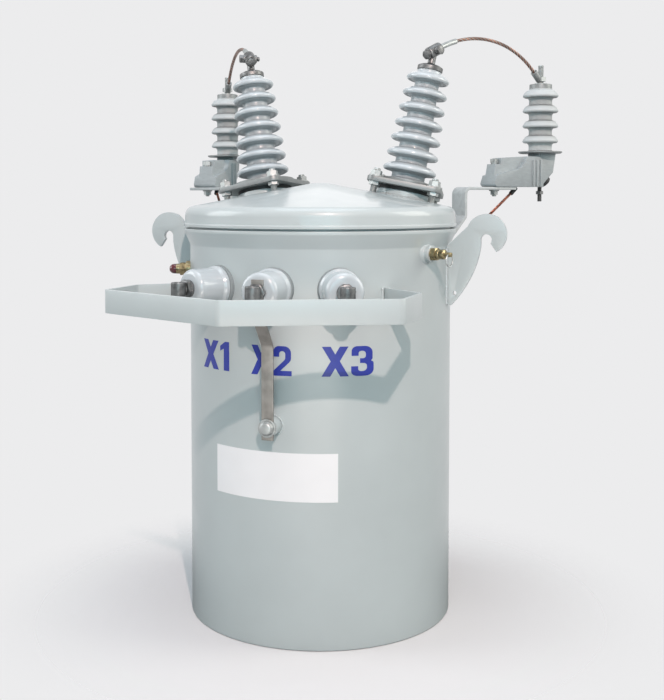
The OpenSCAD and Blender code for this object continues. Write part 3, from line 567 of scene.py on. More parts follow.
def weld(bm, corners, radius):
    """A weld bead along a polyline in metres, with a ripple about every 5 mm."""
    step = 1.3 * MM
    points = []
    for a, b in zip(corners, corners[1:]):
        count = max(1, round((b - a).length / step))
        points += [a.lerp(b, k / count) for k in range(count)]
    tube(bm, points + [corners[-1]], radius, 8, ripple=0.07)


def upright_weld(bm, foot, low, high, radius):
    """A weld bead over a foot point, between two heights in metres."""
    weld(bm, [foot + UP * low, foot + UP * high], radius)


def hexagon(bm, at, across, low, high, material=0):
    """A nut or bolt head: six flats with the turned chamfer on its upper edge."""
    segments = 36
    flat = across / 2
    rim = flat * 0.96
    slope = math.tan(math.radians(30))
    rings = [[], [], []]
    for k in range(segments):
        phi = math.tau * k / segments
        reach = flat / math.cos((phi % (math.pi / 3)) - math.pi / 6)
        edge = high - (reach - rim) * slope
        around = Vector((math.cos(phi), math.sin(phi), 0))
        for ring, r, z in zip(rings, (reach, reach, rim), (low, edge, high)):
            ring.append(bm.verts.new(at @ ((around * r + UP * z) * MM)))
    skin(bm, rings, material)


def thread(bm, at, radius, low, high, pitch=1.75, material=0):
    """A threaded rod with a chamfered end."""
    root, chamfer = radius - 0.6, 1.2
    profile = [(0, low), (root, low)]
    for k in range(int((high - low - chamfer) / pitch)):
        z = low + (k + 0.2) * pitch
        profile += [(root, z), (radius, z + pitch * 0.5)]
    profile += [(radius, high - chamfer), (radius - 1.0, high), (0, high)]
    turn(bm, profile, at, 24, material)


def washer(bm, at, radius, low, high, material=0):
    """A round washer with broken edges."""
    turn(bm, [(0, low), (radius, low, 0.5), (radius, high, 0.5), (0, high)], at, 32, material)


def bolted(bm, at, radius, washer_r, nut_h, below, above):
    """A stud with washer and nut on local z = 0; below and above say how far the stud runs."""
    seat = 2.2
    thread(bm, at, radius, -below, 2 + nut_h + above)
    washer(bm, at, washer_r, 0, seat)
    hexagon(bm, at, radius * 3.05, seat, seat + nut_h)


def shed(z, core, above, rim, pitch, lip):
    """Corners of one drooping shed, from the core below it to the core above it."""
    return [(core, z - pitch * 0.4, 3.0), (core, z - pitch * 0.27, 4.0), (rim - 2.2 * lip, z - lip * 0.75, 2.0),
            (rim - 0.6 * lip, z - lip, lip * 0.8), (rim, z, lip), (rim - 0.5 * lip, z + lip * 0.9, lip),
            ((rim + above) / 2, z + pitch * 0.32, 6.0), (above, z + pitch * 0.38, 3.0)]


def piece(name, bm, finishes, nodes=(), bevel=0.0, sharp=CREASE):
    """Makes an object of the mesh that rides on the part, in place of the named CAD nodes."""
    bmesh.ops.recalc_face_normals(bm, faces=bm.faces)
    if bevel:
        edges = [e for e in bm.edges
                 if len(e.link_faces) == 2 and e.calc_face_angle() > math.radians(CREASE)]
        bmesh.ops.bevel(bm, geom=edges, offset=bevel * MM, segments=2, profile=0.6, affect="EDGES",
                        clamp_overlap=True)
    bmesh.ops.dissolve_degenerate(bm, dist=0.003 * MM, edges=bm.edges)
    mesh = bpy.data.meshes.new(name)
    bm.to_mesh(mesh)
    bm.free()
    mesh.shade_smooth()
    mesh.set_sharp_from_angle(angle=math.radians(sharp))
    for key in finishes:
        mesh.materials.append(finish(key))
    obj = bpy.data.objects.new(name, mesh)
    bpy.context.scene.collection.objects.link(obj)
    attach(obj, "root")
    if nodes:
        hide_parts(*nodes)


def pair(name, build, finishes, node="", bevel=0.0, sharp=CREASE):
    """Makes a right piece and its mirrored left one."""
    for side in ("right", "left"):
        bm = bmesh.new()
        build(bm)
        if side == "left":
            bmesh.ops.scale(bm, vec=(-1, 1, 1), verts=bm.verts)
        nodes = [f"{node}_{side}"] if node else []
        piece(f"{name}_{side}", bm, finishes, nodes, bevel, sharp)


def copied(bm, node):
    """Adds a CAD node's shape, with its flat faces whole again."""
    bm.from_mesh(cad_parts[node].data)
    bmesh.ops.remove_doubles(bm, verts=bm.verts, dist=0.001 * MM)
    bmesh.ops.dissolve_limit(bm, angle_limit=math.radians(0.6), verts=bm.verts, edges=bm.edges)


def coat(node, key):
    """Gives a CAD node that stays its finish."""
    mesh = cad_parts[node].data
    mesh.materials.clear()
    mesh.materials.append(finish(key))


# Pieces

class OBJECT_OT_transformer_tank(bpy.types.Operator):
    """Tank wall with its flared bead, bottom plate, and the conical cover with its necks"""
    bl_idname = "object.transformer_tank"
    bl_label = "Tank and cover"

    def execute(self, context):
        s = context.scene.transformer_sizes
        wall, skirt_z = s.tank_r / MM, s.skirt_z / MM
        seat_z = skirt_z + (s.skirt_h - s.shoulder_r) / MM
        inside, lip, bead = wall - SHEET, wall + SHEET, wall + 9
        rim, bead_top = seat_z - 5, skirt_z - 3
        bm = bmesh.new()
        turn(bm, [(inside, 0), (wall, 0, 1.2), (wall, skirt_z - 29, 8), (bead, skirt_z - 8, 3),
                  (bead, bead_top, 1.2), (wall, bead_top), (wall, rim - 4),
                  (lip, rim - 4), (lip, rim, 0.8), (inside, rim)], segments=192, closed=True)
        piece("tank_shell", bm, ["enamel"], ["tank_wall"])
        coat("tank_bottom", "enamel")
        coat("cover_gasket", "rubber")

        def cone(radius):
            return cone_z(s, radius * MM) / MM

        skirt = wall + s.skirt_out / MM
        hem, seat_r, tip_r = skirt + 1.5, wall - 15, 12
        bm = bmesh.new()
        turn(bm, [(0, cone(0) - SHEET), (seat_r, cone(seat_r) - SHEET), (seat_r, seat_z),
                  (skirt - SHEET, seat_z), (skirt - SHEET, skirt_z), (hem, skirt_z, 0.8),
                  (hem, skirt_z + 4.6, 1.0), (skirt, skirt_z + 5, 1.0),
                  (skirt, cone(skirt), s.shoulder_r / MM), (tip_r, cone(tip_r), 30),
                  (0, cone(tip_r))], segments=192)
        seat = at_hv(s)
        axis = seat.to_3x3() @ UP
        for side in (1, -1):
            mirror = Matrix.Diagonal((side, 1, 1, 1))
            turn(bm, [(31.5, -20), (NECK_R, -20), (NECK_R, 0, 1.2), (31.5, 0)], mirror @ seat, 96, closed=True)
            foot = []
            for around in circle(180, NECK_R):
                point = seat @ around
                for _ in range(12):
                    point -= axis * above_cone(s, point)
                foot.append(mirror @ point)
            tube(bm, foot, 3.0, 8, ripple=0.12)
        piece("cover", bm, ["flowed"], ["tank_cover"])
        return {"FINISHED"}


class OBJECT_OT_transformer_high_voltage(bpy.types.Operator):
    """High voltage bushings: square clamp flanges with studs, porcelain sheds, caps and eye terminals"""
    bl_idname = "object.transformer_high_voltage"
    bl_label = "High voltage bushings"

    def execute(self, context):
        s = context.scene.transformer_sizes
        seat = at_hv(s)
        coat("hv_gaskets", "rubber")
        plate = seat @ Matrix.Rotation(s.hv_flange_turn, 4, "Z")
        half = s.hv_bolt_gap / MM / 2
        corner_r = 13
        edge = half + corner_r
        height, pitch = s.hv_h / MM, s.hv_pitch / MM

        def flange(bm):
            prism(bm, [(x * edge, y * edge, corner_r) for x, y in ((-1, -1), (1, -1), (1, 1), (-1, 1))],
                  FLANGE_LOW, FLANGE_TOP, plate)
            inner, outer = NECK_R + 0.3, NECK_R + 5.3
            turn(bm, [(inner, FLANGE_TOP - 1), (outer, FLANGE_TOP - 1), (outer, COLLAR_TOP, 1.0),
                      (inner, COLLAR_TOP, 0.6)], seat, closed=True)

        pair("hv_clamp_flange", flange, ["weathered"], "hv_flange", 0.9)

        def fasteners(bm):
            for x, y, degrees in ((half, -half, 8), (half, half, 25), (-half, half, 3), (-half, -half, 17)):
                spot = plate @ shift(x, y, FLANGE_TOP) @ spin(degrees)
                bolted(bm, spot, 5.4, 11, 8, above_cone(s, spot.translation) / MM, 4)
                hexagon(bm, spot @ OVER, 16, FLANGE_TOP - FLANGE_LOW + 0.2, FLANGE_TOP)

        pair("hv_flange_studs", fasteners, ["galvanised"])

        def body(bm):
            last = 6
            first_z = height - 16 - last * pitch
            low_core, taper, low_rim, rim_taper = 27.5, 7.5, 45, 9
            corners = [(0, 8), (31, 8), (31, FLANGE_TOP), (NECK_R, FLANGE_TOP, 0.5), (NECK_R, COLLAR_TOP, 1.5),
                       (low_core, 23, 2)]
            for k in range(last + 1):
                core = low_core - taper * k / last
                above = low_core - taper * min(1, (k + 1) / last)
                corners += shed(first_z + k * pitch, core, above, low_rim - rim_taper * k / last, pitch, 4.0)
            corners += [(20, height, 3), (0, height)]
            turn(bm, corners, seat, 96)

        pair("hv_porcelain", body, ["porcelain"], "hv_bushing", sharp=SHED_CREASE)

        eye = seat @ (UP * (height + EYE_RISE) * MM)
        out = lead_ends(s)[1]
        barrel = facing(eye, out)
        clamp = facing(eye, out.cross(UP).normalized())

        def terminal(bm):
            cap, post, top = height + 9, 6.3, height + 32
            turn(bm, [(0, height - 1), (20.5, height - 1), (21, height, 1), (21, height + 6, 1.5), (15, cap, 2),
                      (9, cap, 2), (post, height + 12, 2), (post, top), (0, top)], seat)
            turn(bm, [(0, -EYE_HALF), (10, -EYE_HALF, 3), (10, EYE_HALF, 1.5), (3.3, EYE_HALF), (3.3, 1),
                      (0, 1)], barrel, 48)
            turn(bm, [(0, -12), (7, -12, 1), (7, 12, 1), (0, 12)], clamp, 32)
            hexagon(bm, clamp, 13, 11, 18)
            thread(bm, clamp @ OVER, 4, 11, 17, 1.25)
            hexagon(bm, barrel @ OVER, 14, 13, 20)

        pair("hv_eye_terminal", terminal, ["tinned"], "hv_terminal")
        return {"FINISHED"}


def lead_ends(s):
    """Start, leaving direction, end and arriving direction of the right jumper lead."""
    eye = at_hv(s) @ (UP * (s.hv_h + EYE_RISE * MM))
    post = at_arrester(s) @ (UP * (s.ar_h + LUG_RISE * MM))
    plan = post - eye
    plan.z = 0
    plan.normalize()
    rise, fall = math.radians(25), math.radians(41)
    out = plan * math.cos(rise) + UP * math.sin(rise)
    down = plan * math.cos(fall) - UP * math.sin(fall)
    return eye + out * EYE_HALF * MM, out, post - down * LUG_LENGTH * MM, down


class OBJECT_OT_transformer_leads(bpy.types.Operator):
    """Stranded jumper leads between the bushings and the arresters"""
    bl_idname = "object.transformer_leads"
    bl_label = "Jumper leads"

    def execute(self, context):
        s = context.scene.transformer_sizes
        begin, out, end, down = lead_ends(s)
        arch, steps, ferrule_steps = 85 * MM, 150, 26
        path = [begin - out * INSERTED * MM]
        path += bezier(begin, begin + out * arch, end - down * arch, end, steps)
        path.append(end + down * INSERTED * MM)

        def lead(bm):
            stranded(bm, path, s.lead_r / MM, 9, pale=(1, 3, 5))

        pair("hv_jumper", lead, ["copper", "strip"], "hv_lead")

        def ferrule(bm):
            tube(bm, path[:ferrule_steps], 4.6, 24)

        pair("hv_jumper_ferrule", ferrule, ["galvanised"])
        return {"FINISHED"}


class OBJECT_OT_transformer_low_voltage(bpy.types.Operator):
    """Low voltage bushings: gaskets, rounded porcelain, and eye terminals with their nuts"""
    bl_idname = "object.transformer_low_voltage"
    bl_label = "Low voltage bushings"

    def execute(self, context):
        s = context.scene.transformer_sizes
        wall, r, front = s.tank_r / MM, s.lv_r / MM, (s.tank_r + s.lv_reach) / MM
        height = s.skirt_z - s.lv_drop
        back, seat, foot = wall - 20, wall + 4, wall + 4.3
        bore, stem, foot_r = 8.3, 19.7, 31
        nut, nut_top = front + 3.6, front + 10.6
        rings = bmesh.new()
        for name, step in (("left", -1), ("centre", 0), ("right", 1)):
            spot = on_wall(step * s.lv_angle, height)
            turn(rings, [(20, wall - 4), (32, wall - 4), (32, seat, 1.6), (20, seat)], spot, closed=True)
            bm = bmesh.new()
            turn(bm, [(bore, back), (stem, back), (stem, foot), (foot_r, foot, 1.5), (foot_r, foot + 6, 2),
                      (28, foot + 10, 4), (r, front, 14), (12, front, 2), (bore, front - 1)],
                 spot, 96, closed=True)
            piece(f"lv_porcelain_{name}", bm, ["porcelain"], [f"lv_bushing_{name}"],
                  sharp=SHED_CREASE)
            bm = bmesh.new()
            thread(bm, spot, 8, back, front + 12, 2.0)
            if step:
                washer(bm, spot, 13, front + 0.3, nut)
            hexagon(bm, spot @ spin(12 * step), 24, nut, nut_top)
            eye = spot @ shift(0, 0, nut_top + 9) @ Matrix.Rotation(math.radians(-90), 4, "X")
            turn(bm, [(6.5, -10, 0.8), (11, -10, 1.5), (11, 10, 1.5), (6.5, 10, 0.8)], eye, 48,
                 closed=True)
            piece(f"lv_eye_terminal_{name}", bm, ["tinned"], [f"lv_terminal_{name}"])
        piece("lv_gasket_rings", rings, ["neoprene"], ["lv_gaskets"])
        return {"FINISHED"}


class OBJECT_OT_transformer_ground(bpy.types.Operator):
    """Ground strap from the middle terminal to the tapped boss, with its bolt"""
    bl_idname = "object.transformer_ground"
    bl_label = "Ground strap"

    def execute(self, context):
        s = context.scene.transformer_sizes
        bm = bmesh.new()
        copied(bm, "ground_strap")
        piece("ground_strip", bm, ["strip"], ["ground_strap"], 0.5)

        low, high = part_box("ground_boss")
        spot = on_wall(0, (low.z + high.z) / 2)
        bm = bmesh.new()
        copied(bm, "ground_boss")
        ring = [spot @ point for point in circle(60, 15)]
        for point in ring:
            point.y = -math.sqrt(s.tank_r ** 2 - point.x ** 2)
        weld(bm, ring, 1.4)
        piece("ground_pad", bm, ["enamel"], ["ground_boss"], 0.6)

        bm = bmesh.new()
        hole = s.tank_r / MM + 4
        face = -low.y / MM + 3.3
        head = face + 2.5
        washer(bm, spot, 13.5, face, head)
        turn(bm, [(0, hole), (5.8, hole), (5.8, head), (11, head, 0.8), (11, head + 2.5, 2),
                  (8, head + 6.8, 4), (0, head + 7.5)], spot, 40)
        piece("ground_bolt", bm, ["galvanised"])
        return {"FINISHED"}


class OBJECT_OT_transformer_guard(bpy.types.Operator):
    """Bent flat guard bar round the low voltage bushings, welded to the wall"""
    bl_idname = "object.transformer_guard"
    bl_label = "Guard bar"

    def execute(self, context):
        s = context.scene.transformer_sizes
        bm = bmesh.new()
        copied(bm, "bushing_guard")
        low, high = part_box("bushing_guard")
        for side in (1, -1):
            for degrees in (44.6, 47.6):
                a = math.radians(degrees) * side
                foot = Vector((math.sin(a), -math.cos(a), 0)) * (s.tank_r + 0.6 * MM)
                upright_weld(bm, foot, low.z, high.z, 2.4)
        piece("guard_bar", bm, ["enamel"], ["bushing_guard"], 0.8)
        return {"FINISHED"}


class OBJECT_OT_transformer_hooks(bpy.types.Operator):
    """Lifting hooks with their fillet welds"""
    bl_idname = "object.transformer_hooks"
    bl_label = "Lifting hooks"

    def execute(self, context):
        s = context.scene.transformer_sizes
        low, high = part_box("lifting_hook_right")

        def hook(bm):
            copied(bm, "lifting_hook_right")
            for side in (1, -1):
                foot = Vector((s.tank_r, side * (high.y + 1 * MM), 0))
                upright_weld(bm, foot, low.z + 2 * MM, s.skirt_z - 34 * MM, 3.0)

        pair("lifting_hook_plate", hook, ["enamel"], "lifting_hook", 1.0)
        return {"FINISHED"}


class OBJECT_OT_transformer_fittings(bpy.types.Operator):
    """Pressure relief valve with its boss and pull ring, and the signal lamp"""
    bl_idname = "object.transformer_fittings"
    bl_label = "Relief valve and lamp"

    def execute(self, context):
        s = context.scene.transformer_sizes
        wall = s.tank_r / MM
        inside = wall - SHEET
        face = wall + 10
        spot = on_wall(s.relief_angle, s.skirt_z - s.relief_drop)
        bm = bmesh.new()
        turn(bm, [(0, inside), (17, inside), (17, wall - 0.5, 1), (13, wall + 2.5, 2), (13, face, 1.2),
                  (0, face)], spot, 48)
        piece("relief_pad", bm, ["enamel"], ["relief_boss"])

        bm = bmesh.new()
        hexagon(bm, spot, 18, face, face + 9)
        body_r, stem_r = 7.5, 3.5
        turn(bm, [(0, face + 8), (body_r, face + 8), (body_r, face + 13, 1), (6.4, face + 14, 0.6),
                  (body_r, face + 15, 1), (body_r, face + 22, 1.6), (stem_r, face + 23, 0.6),
                  (stem_r, face + 34, 1.2), (0, face + 34)], spot, 40)
        piece("relief_valve_body", bm, ["brass"], ["relief_valve"])

        bm = bmesh.new()
        ring_r, steps = 9, 48
        hoop = [spot @ (Vector((ring_r * math.sin(math.tau * k / steps),
                                ring_r * math.cos(math.tau * k / steps) - 8.7, face + 30)) * MM)
                for k in range(steps + 1)]
        tube(bm, hoop, 1.0, 10)
        piece("relief_pull_ring", bm, ["galvanised"], ["relief_ring"])

        spot = on_wall(s.lamp_angle, s.skirt_z - s.lamp_drop)
        socket, nut_top, lens_z = wall + 8, wall + 18, wall + 24
        bm = bmesh.new()
        turn(bm, [(0, inside), (13, inside), (13, socket, 1.2), (0, socket)], spot, 48)
        hexagon(bm, spot, 20, socket, nut_top)
        turn(bm, [(0, nut_top - 1), (8.2, nut_top - 1), (8.2, lens_z, 0.8), (0, lens_z)], spot, 40)
        piece("signal_lamp_holder", bm, ["brass"], ["signal_lamp_body"])

        bm = bmesh.new()
        turn(bm, [(0, lens_z), (8, lens_z), (8, lens_z + 3, 1), (7.3, lens_z + 7, 4), (4, lens_z + 10.6, 3),
                  (0, lens_z + 11)], spot, 40)
        piece("signal_lamp_cap", bm, ["lens"], ["signal_lamp_lens"], sharp=LENS_CREASE)
        return {"FINISHED"}


class OBJECT_OT_transformer_arresters(bpy.types.Operator):
    """Arresters: sheds, caps, brackets, disconnectors, straps, ground leads and their bolts"""
    bl_idname = "object.transformer_arresters"
    bl_label = "Arresters"

    def execute(self, context):
        s = context.scene.transformer_sizes
        axis = at_arrester(s)
        top = s.ar_h / MM + BASE_T

        def housing(bm):
            pitch = s.ar_pitch / MM
            corners = [(0, BASE_T), (CORE_R, BASE_T)]
            for k in range(4):
                corners += shed(BASE_T + (k + 0.68) * pitch, CORE_R, CORE_R, 32, pitch, 3.5)
            turn(bm, corners + [(CORE_R, top, 2), (0, top)], axis, 72)

        pair("arrester_sheds", housing, ["silicone"], "arrester_housing", sharp=SHED_CREASE)

        _, _, end, down = lead_ends(s)
        lug = facing(end + down * LUG_LENGTH * MM, -down)

        def terminal(bm):
            cap = top + 8
            turn(bm, [(0, top), (20, top), (20, cap, 1.5), (0, cap)], axis, 56)
            thread(bm, axis, 5, cap - 2, cap + 34, 1.5, 1)
            washer(bm, axis, 11, cap, cap + 2, 1)
            hexagon(bm, axis, 17, cap + 5.5, cap + 13, 1)
            turn(bm, [(0, 1), (6, 1, 1), (6, LUG_LENGTH, 0.8), (3.4, LUG_LENGTH), (3.4, 13), (0, 13)], lug, 32)

        pair("arrester_cap", terminal, ["weathered", "galvanised"], "arrester_terminal")

        def base(bm):
            turn(bm, [(0, 0), (36, 0, 1), (39, 1.6, 1), (39, BASE_T, 1), (24, BASE_T, 1), (CORE_R, 6, 2),
                      (0, 6)], axis, 72)

        pair("arrester_base_disc", base, ["weathered"], "arrester_base")

        for side in ("right", "left"):
            self.lower(s, side)
        return {"FINISHED"}

    def lower(self, s, side):
        """What hangs under one arrester, which isn't a mirror image of the other side."""
        arm = at_arm(s, side)
        for name, node, key, slot, bevel in (
                ("arrester_bracket_moulding", "arrester_bracket", "polyester", "bracket_polymer", 1.6),
                ("arrester_strap_bar", "arrester_strap", "carbonate", "galvanised_steel", 0.8)):
            bm = bmesh.new()
            copied(bm, f"{node}_{side}")
            piece(f"{name}_{side}", bm, [key], [f"{node}_{side}"], bevel)

        bm = bmesh.new()
        under = arm @ shift(-3.5, 0, -46)
        tilt = Matrix.Rotation(math.radians(43.8), 4, "Y")
        turn(bm, [(0, -10), (11, -10, 1.5), (13, -8, 1), (13, -0.3, 1), (0, -0.3)], under @ tilt, 40)
        stud = under @ shift(4, 0, 0)
        thread(bm, stud, 4, -40, -12, 1.25, 1)
        hexagon(bm, stud, 12, -27, -21, 1)
        piece(f"arrester_disconnector_disc_{side}", bm, ["rubber", "tinned"],
              [f"arrester_disconnector_{side}"])

        bolt = arm @ Vector((STRAP_BOLT * MM, 0, 0))
        way = Vector((bolt.x, bolt.y, 0)).normalized()
        along = arm.to_3x3() @ Vector((1, 0, 0))
        foot = s.skirt_z - 83 * MM
        begin = arm @ (Vector((54, 0, -62)) * MM)
        end = way * (s.tank_r + 8.1 * MM) + UP * foot
        route = bezier(begin, begin + (along - UP) * 14 * MM, end + (way * 50 + UP * 45) * MM, end, 90)
        bm = bmesh.new()
        stranded(bm, route, 2.5, 9)
        for spot, ahead in ((route[0], route[4] - route[0]), (route[-1], route[-5] - route[-1])):
            turn(bm, [(0, -1), (4, -1, 0.6), (4, 15, 0.8), (0, 15)], facing(spot, ahead), 24, 1)
        piece(f"arrester_ground_wire_{side}", bm, ["copper", "rubber"],
              [f"arrester_ground_lead_{side}"])

        bm = bmesh.new()
        bolted(bm, arm @ shift(STRAP_BOLT, 0, -20), 4.4, 6, 7, 2, 1)
        bolted(bm, arm @ shift(STRAP_BOLT, 0, -65.3) @ OVER, 4, 9, 6.5, 2, 3)
        face = way * (s.tank_r + 5.6 * MM) + UP * (foot + 13 * MM)
        bolted(bm, facing(face, way), 4.5, 10, 7, 1, 3)
        piece(f"arrester_bolts_{side}", bm, ["galvanised"])


class OBJECT_OT_transformer_hangers(bpy.types.Operator):
    """Pole hangers on the back of the tank, with their welds"""
    bl_idname = "object.transformer_hangers"
    bl_label = "Pole hangers"

    def execute(self, context):
        s = context.scene.transformer_sizes
        for node in ("upper_hanger", "lower_hanger"):
            bm = bmesh.new()
            copied(bm, node)
            low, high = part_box(node)
            for side in (1, -1):
                x = side * (high.x + 1 * MM)
                foot = Vector((x, math.sqrt(s.tank_r ** 2 - x ** 2) + 0.5 * MM, 0))
                upright_weld(bm, foot, low.z, high.z, 3.0)
            piece(f"{node}_channel", bm, ["enamel"], [node], 1.0)
        return {"FINISHED"}


# Outlines of the marks' letters, a hundred units tall
GLYPHS = {
    "X": [(0, 0), (23, 0), (36, 28), (49, 0), (72, 0), (48, 51), (71, 100), (48, 100), (36, 74), (24, 100),
          (1, 100), (24, 51)],
    "1": [(14, 0), (34, 0), (34, 100), (19, 100), (0, 84), (0, 67), (14, 76)],
    "2": [(2, 64), (2, 100, 24), (60, 100, 24), (60, 52, 20), (25, 17), (62, 17), (62, 0), (0, 0), (0, 15),
          (41, 56, 12), (41, 83, 11), (21, 83, 9), (21, 64)],
    "3": [(1, 68), (1, 100, 22), (59, 100, 22), (59, 55, 12), (54, 51), (62, 46, 12), (62, 0, 26), (0, 0, 24),
          (0, 33), (19, 33), (19, 16, 8), (43, 16, 13), (43, 43, 13), (24, 43), (24, 59), (40, 59, 12),
          (40, 84, 12), (20, 84, 8), (20, 68)],
}
DIGIT_X = 78        # where the digit starts after the letter, in the same units
UNIT_H = 0.435      # height of a unit in millimetres
MARK_Z = 405        # foot of the marks above the base, in millimetres
# Digit, angle of its mark's middle from the front in degrees, and the mark's width in millimetres
MARKS = (("1", -30, 65), ("2", -1, 64), ("3", 30.2, 78))


def on_skin(s, turn_by, height, raised):
    """A point of a thin film on the tank wall, on its outer face if raised and on its back if not."""
    radius = s.tank_r + (FILM if raised else FILM_BACK) * MM
    return Vector((radius * math.sin(turn_by), -radius * math.cos(turn_by), height))


class OBJECT_OT_transformer_marks(bpy.types.Operator):
    """Terminal marks and a blank label on the tank wall"""
    bl_idname = "object.transformer_marks"
    bl_label = "Marks and label"

    def execute(self, context):
        s = context.scene.transformer_sizes
        marks = bmesh.new()
        cuts = 30
        for digit, middle, width in MARKS:
            flat = bmesh.new()
            wide = DIGIT_X + max(corner[0] for corner in GLYPHS[digit])
            for glyph, start_x in (("X", 0), (digit, DIGIT_X)):
                flat.faces.new([flat.verts.new((x + start_x, y, 0)) for x, y in fillet(GLYPHS[glyph], True)])
            for k in range(1, cuts):
                bmesh.ops.bisect_plane(flat, geom=flat.verts[:] + flat.edges[:] + flat.faces[:],
                                       plane_co=(wide * k / cuts, 0, 0), plane_no=(1, 0, 0))
            bmesh.ops.solidify(flat, geom=flat.faces[:], thickness=1.0)
            for v in flat.verts:
                a = math.radians(middle) + (v.co.x / wide - 0.5) * width * MM / s.tank_r
                v.co = on_skin(s, a, (MARK_Z + UNIT_H * v.co.y) * MM, abs(v.co.z) < 0.5)
            mesh = bpy.data.meshes.new("mark")
            flat.to_mesh(mesh)
            flat.free()
            marks.from_mesh(mesh)
            bpy.data.meshes.remove(mesh)
        piece("terminal_marks", marks, ["stencil"])

        label = bmesh.new()
        from_a, to_a = math.radians(-28.7), math.radians(26.2)
        low, high, steps = 220.5 * MM, 292 * MM, 40
        columns = []
        for k in range(steps + 1):
            a = from_a + (to_a - from_a) * k / steps
            columns.append([label.verts.new(on_skin(s, a, z, raised))
                            for z, raised in ((low, True), (high, True), (high, False), (low, False))])
        skin(label, columns)
        piece("blank_label", label, ["vinyl"])
        return {"FINISHED"}


# Lamps: name, place, height that it aims at, width, height, power and tint, in metres and watts
LAMPS = (
    ("key", (1.14, -2.39, 2.29), 0.50, 0.06, 0.06, 59, "#ffe3db"),
    ("front", (0.95, -2.70, 1.00), 0.45, 1.6, 1.2, 15, "#b9f2ff"),
    ("low", (0.42, -1.35, 0.10), 0.38, 0.9, 0.4, 3.8, "#fff7ef"),
    ("left", (-2.59, -0.84, 1.77), 0.50, 1.6, 1.8, 33, "#fbfeff"),
    ("right", (2.63, 0.70, 1.77), 0.50, 1.6, 1.8, 36, "#fffdf4"),
    ("top", (0.03, -0.18, 3.10), 0.50, 1.8, 1.8, 22, "#e6f3ff"),
    ("back", (-0.83, 2.65, 2.10), 0.60, 0.64, 0.7, 1.0, "#fff8f6"),
)


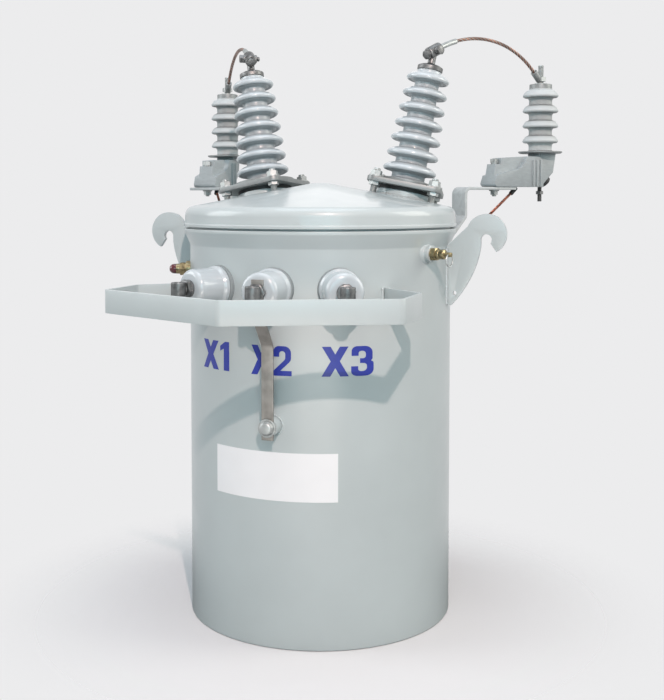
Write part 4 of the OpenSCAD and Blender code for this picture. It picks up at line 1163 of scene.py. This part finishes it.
class OBJECT_OT_transformer_stage(bpy.types.Operator):
    """Pale floor and world, studio lights, and the camera at the photograph's angle"""
    bl_idname = "object.transformer_stage"
    bl_label = "Stage"

    def execute(self, context):
        scene = context.scene
        scene.view_settings.view_transform = "Standard"
        self.camera(scene)
        self.lamps(scene)
        self.world(scene)
        self.floor(scene)
        return {"FINISHED"}

    def camera(self, scene):
        """The camera that was fitted to the photograph."""
        azimuth, pitch = math.radians(19.15), math.radians(2.89)
        away, height = 1.804, 0.666
        data = bpy.data.cameras.new("photo_camera")
        data.lens = 57.11
        data.sensor_width = 36.0
        data.shift_x = 0.0166
        data.shift_y = -0.14
        camera = bpy.data.objects.new("photo_camera", data)
        camera.location = (away * math.sin(azimuth), -away * math.cos(azimuth), height)
        camera.rotation_euler = (math.radians(90) - pitch, 0, azimuth)
        scene.collection.objects.link(camera)
        scene.camera = camera

    def lamps(self, scene):
        """Area lamps round the object, which the camera doesn't see."""
        for name, place, aim, wide, tall, power, tint in LAMPS:
            lamp = bpy.data.lights.new(name, "AREA")
            lamp.shape = "RECTANGLE"
            lamp.size = wide
            lamp.size_y = tall
            lamp.energy = power
            lamp.color = linear(tint)[:3]
            obj = bpy.data.objects.new(name, lamp)
            obj.location = place
            obj.rotation_euler = (UP * aim - Vector(place)).to_track_quat("-Z", "Y").to_euler()
            obj.visible_camera = False
            scene.collection.objects.link(obj)

    def world(self, scene):
        """The pale background for what is seen or mirrored, and a weaker sky for the light."""
        world = bpy.data.worlds.new("studio")
        world.use_nodes = True
        tree = world.node_tree
        tree.nodes.clear()
        ray = add(tree, "LightPath").outputs
        seen = add(tree, "Math", {0: ray["Is Camera Ray"], 1: ray["Is Glossy Ray"]}, operation="MAXIMUM")
        seen = add(tree, "Math", {0: seen.outputs[0], 1: ray["Is Transmission Ray"]}, operation="MAXIMUM")
        shown = add(tree, "Background", {"Color": list(scene.transformer_colours.backdrop), "Strength": 1.0})
        sky = add(tree, "SeparateXYZ", {0: add(tree, "TexCoord").outputs["Generated"]})
        high = add(tree, "MapRange", {"Value": sky.outputs["Z"], "From Min": -0.4, "From Max": 0.5,
                                      "To Min": 0.1, "To Max": 0.45})
        light = add(tree, "Background", {"Color": linear("#e6eef5"), "Strength": high.outputs["Result"]})
        mixed = add(tree, "MixShader", {0: seen.outputs[0], 1: light.outputs[0], 2: shown.outputs[0]})
        add(tree, "OutputWorld", {"Surface": mixed.outputs[0]})
        scene.world = world

    def floor(self, scene):
        """Pale paper that takes the object's shadow and fades into the background."""
        backdrop = scene.transformer_colours.backdrop
        bm = bmesh.new()
        turn(bm, [(0, -0.5), (600, -0.5), (3000, -0.5)], segments=96)
        mesh = bpy.data.meshes.new("floor")
        bm.to_mesh(mesh)
        bm.free()
        floor = bpy.data.objects.new("floor", mesh)
        scene.collection.objects.link(floor)
        material = bpy.data.materials.new("pale_paper")
        material.use_nodes = True
        tree = material.node_tree
        tree.nodes.clear()
        place = add(tree, "TexCoord").outputs["Object"]
        away = add(tree, "VectorMath", {0: place}, operation="LENGTH")
        fade = add(tree, "MapRange", {"Value": away.outputs["Value"], "From Min": 0.23, "From Max": 0.60},
                   interpolation_type="SMOOTHSTEP")
        ray = add(tree, "LightPath")
        pale = add(tree, "BsdfDiffuse", {"Color": shade(backdrop, 0.80)})
        dull = add(tree, "BsdfDiffuse", {"Color": shade(backdrop, 0.25)})
        paper = add(tree, "MixShader", {0: ray.outputs["Is Camera Ray"], 1: dull.outputs[0],
                                        2: pale.outputs[0]})
        clear = add(tree, "BsdfTransparent")
        mixed = add(tree, "MixShader", {0: fade.outputs["Result"], 1: paper.outputs[0], 2: clear.outputs[0]})
        add(tree, "OutputMaterial", {"Surface": mixed.outputs[0]})
        mesh.materials.append(material)


class VIEW3D_PT_transformer(bpy.types.Panel):
    """Sizes, colours and pieces of the transformer"""
    bl_label = "Transformer"
    bl_space_type = "VIEW_3D"
    bl_region_type = "UI"
    bl_category = "Transformer"

    def draw(self, context):
        for group in (context.scene.transformer_sizes, context.scene.transformer_colours):
            column = self.layout.column()
            for key in group.bl_rna.properties.keys():
                if key not in ("rna_type", "name"):
                    column.prop(group, key)
        for operator in OPERATORS:
            self.layout.operator(operator.bl_idname)


OPERATORS = (OBJECT_OT_transformer_tank, OBJECT_OT_transformer_high_voltage, OBJECT_OT_transformer_leads,
             OBJECT_OT_transformer_low_voltage, OBJECT_OT_transformer_ground, OBJECT_OT_transformer_guard,
             OBJECT_OT_transformer_hooks, OBJECT_OT_transformer_fittings, OBJECT_OT_transformer_arresters,
             OBJECT_OT_transformer_hangers, OBJECT_OT_transformer_marks, OBJECT_OT_transformer_stage)
CLASSES = (TransformerSizes, TransformerColours, VIEW3D_PT_transformer) + OPERATORS


def register():
    """Adds the classes, and the sizes and colours of a scene."""
    for cls in CLASSES:
        bpy.utils.register_class(cls)
    bpy.types.Scene.transformer_sizes = PointerProperty(type=TransformerSizes)
    bpy.types.Scene.transformer_colours = PointerProperty(type=TransformerColours)


def unregister():
    """Takes out what register added."""
    del bpy.types.Scene.transformer_colours
    del bpy.types.Scene.transformer_sizes
    for cls in reversed(CLASSES):
        bpy.utils.unregister_class(cls)


def main():
    """Registers the classes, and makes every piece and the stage."""
    register()
    for operator in OPERATORS:
        group, name = operator.bl_idname.split(".")
        getattr(getattr(bpy.ops, group), name)()


if __name__ == "__main__":
    main()
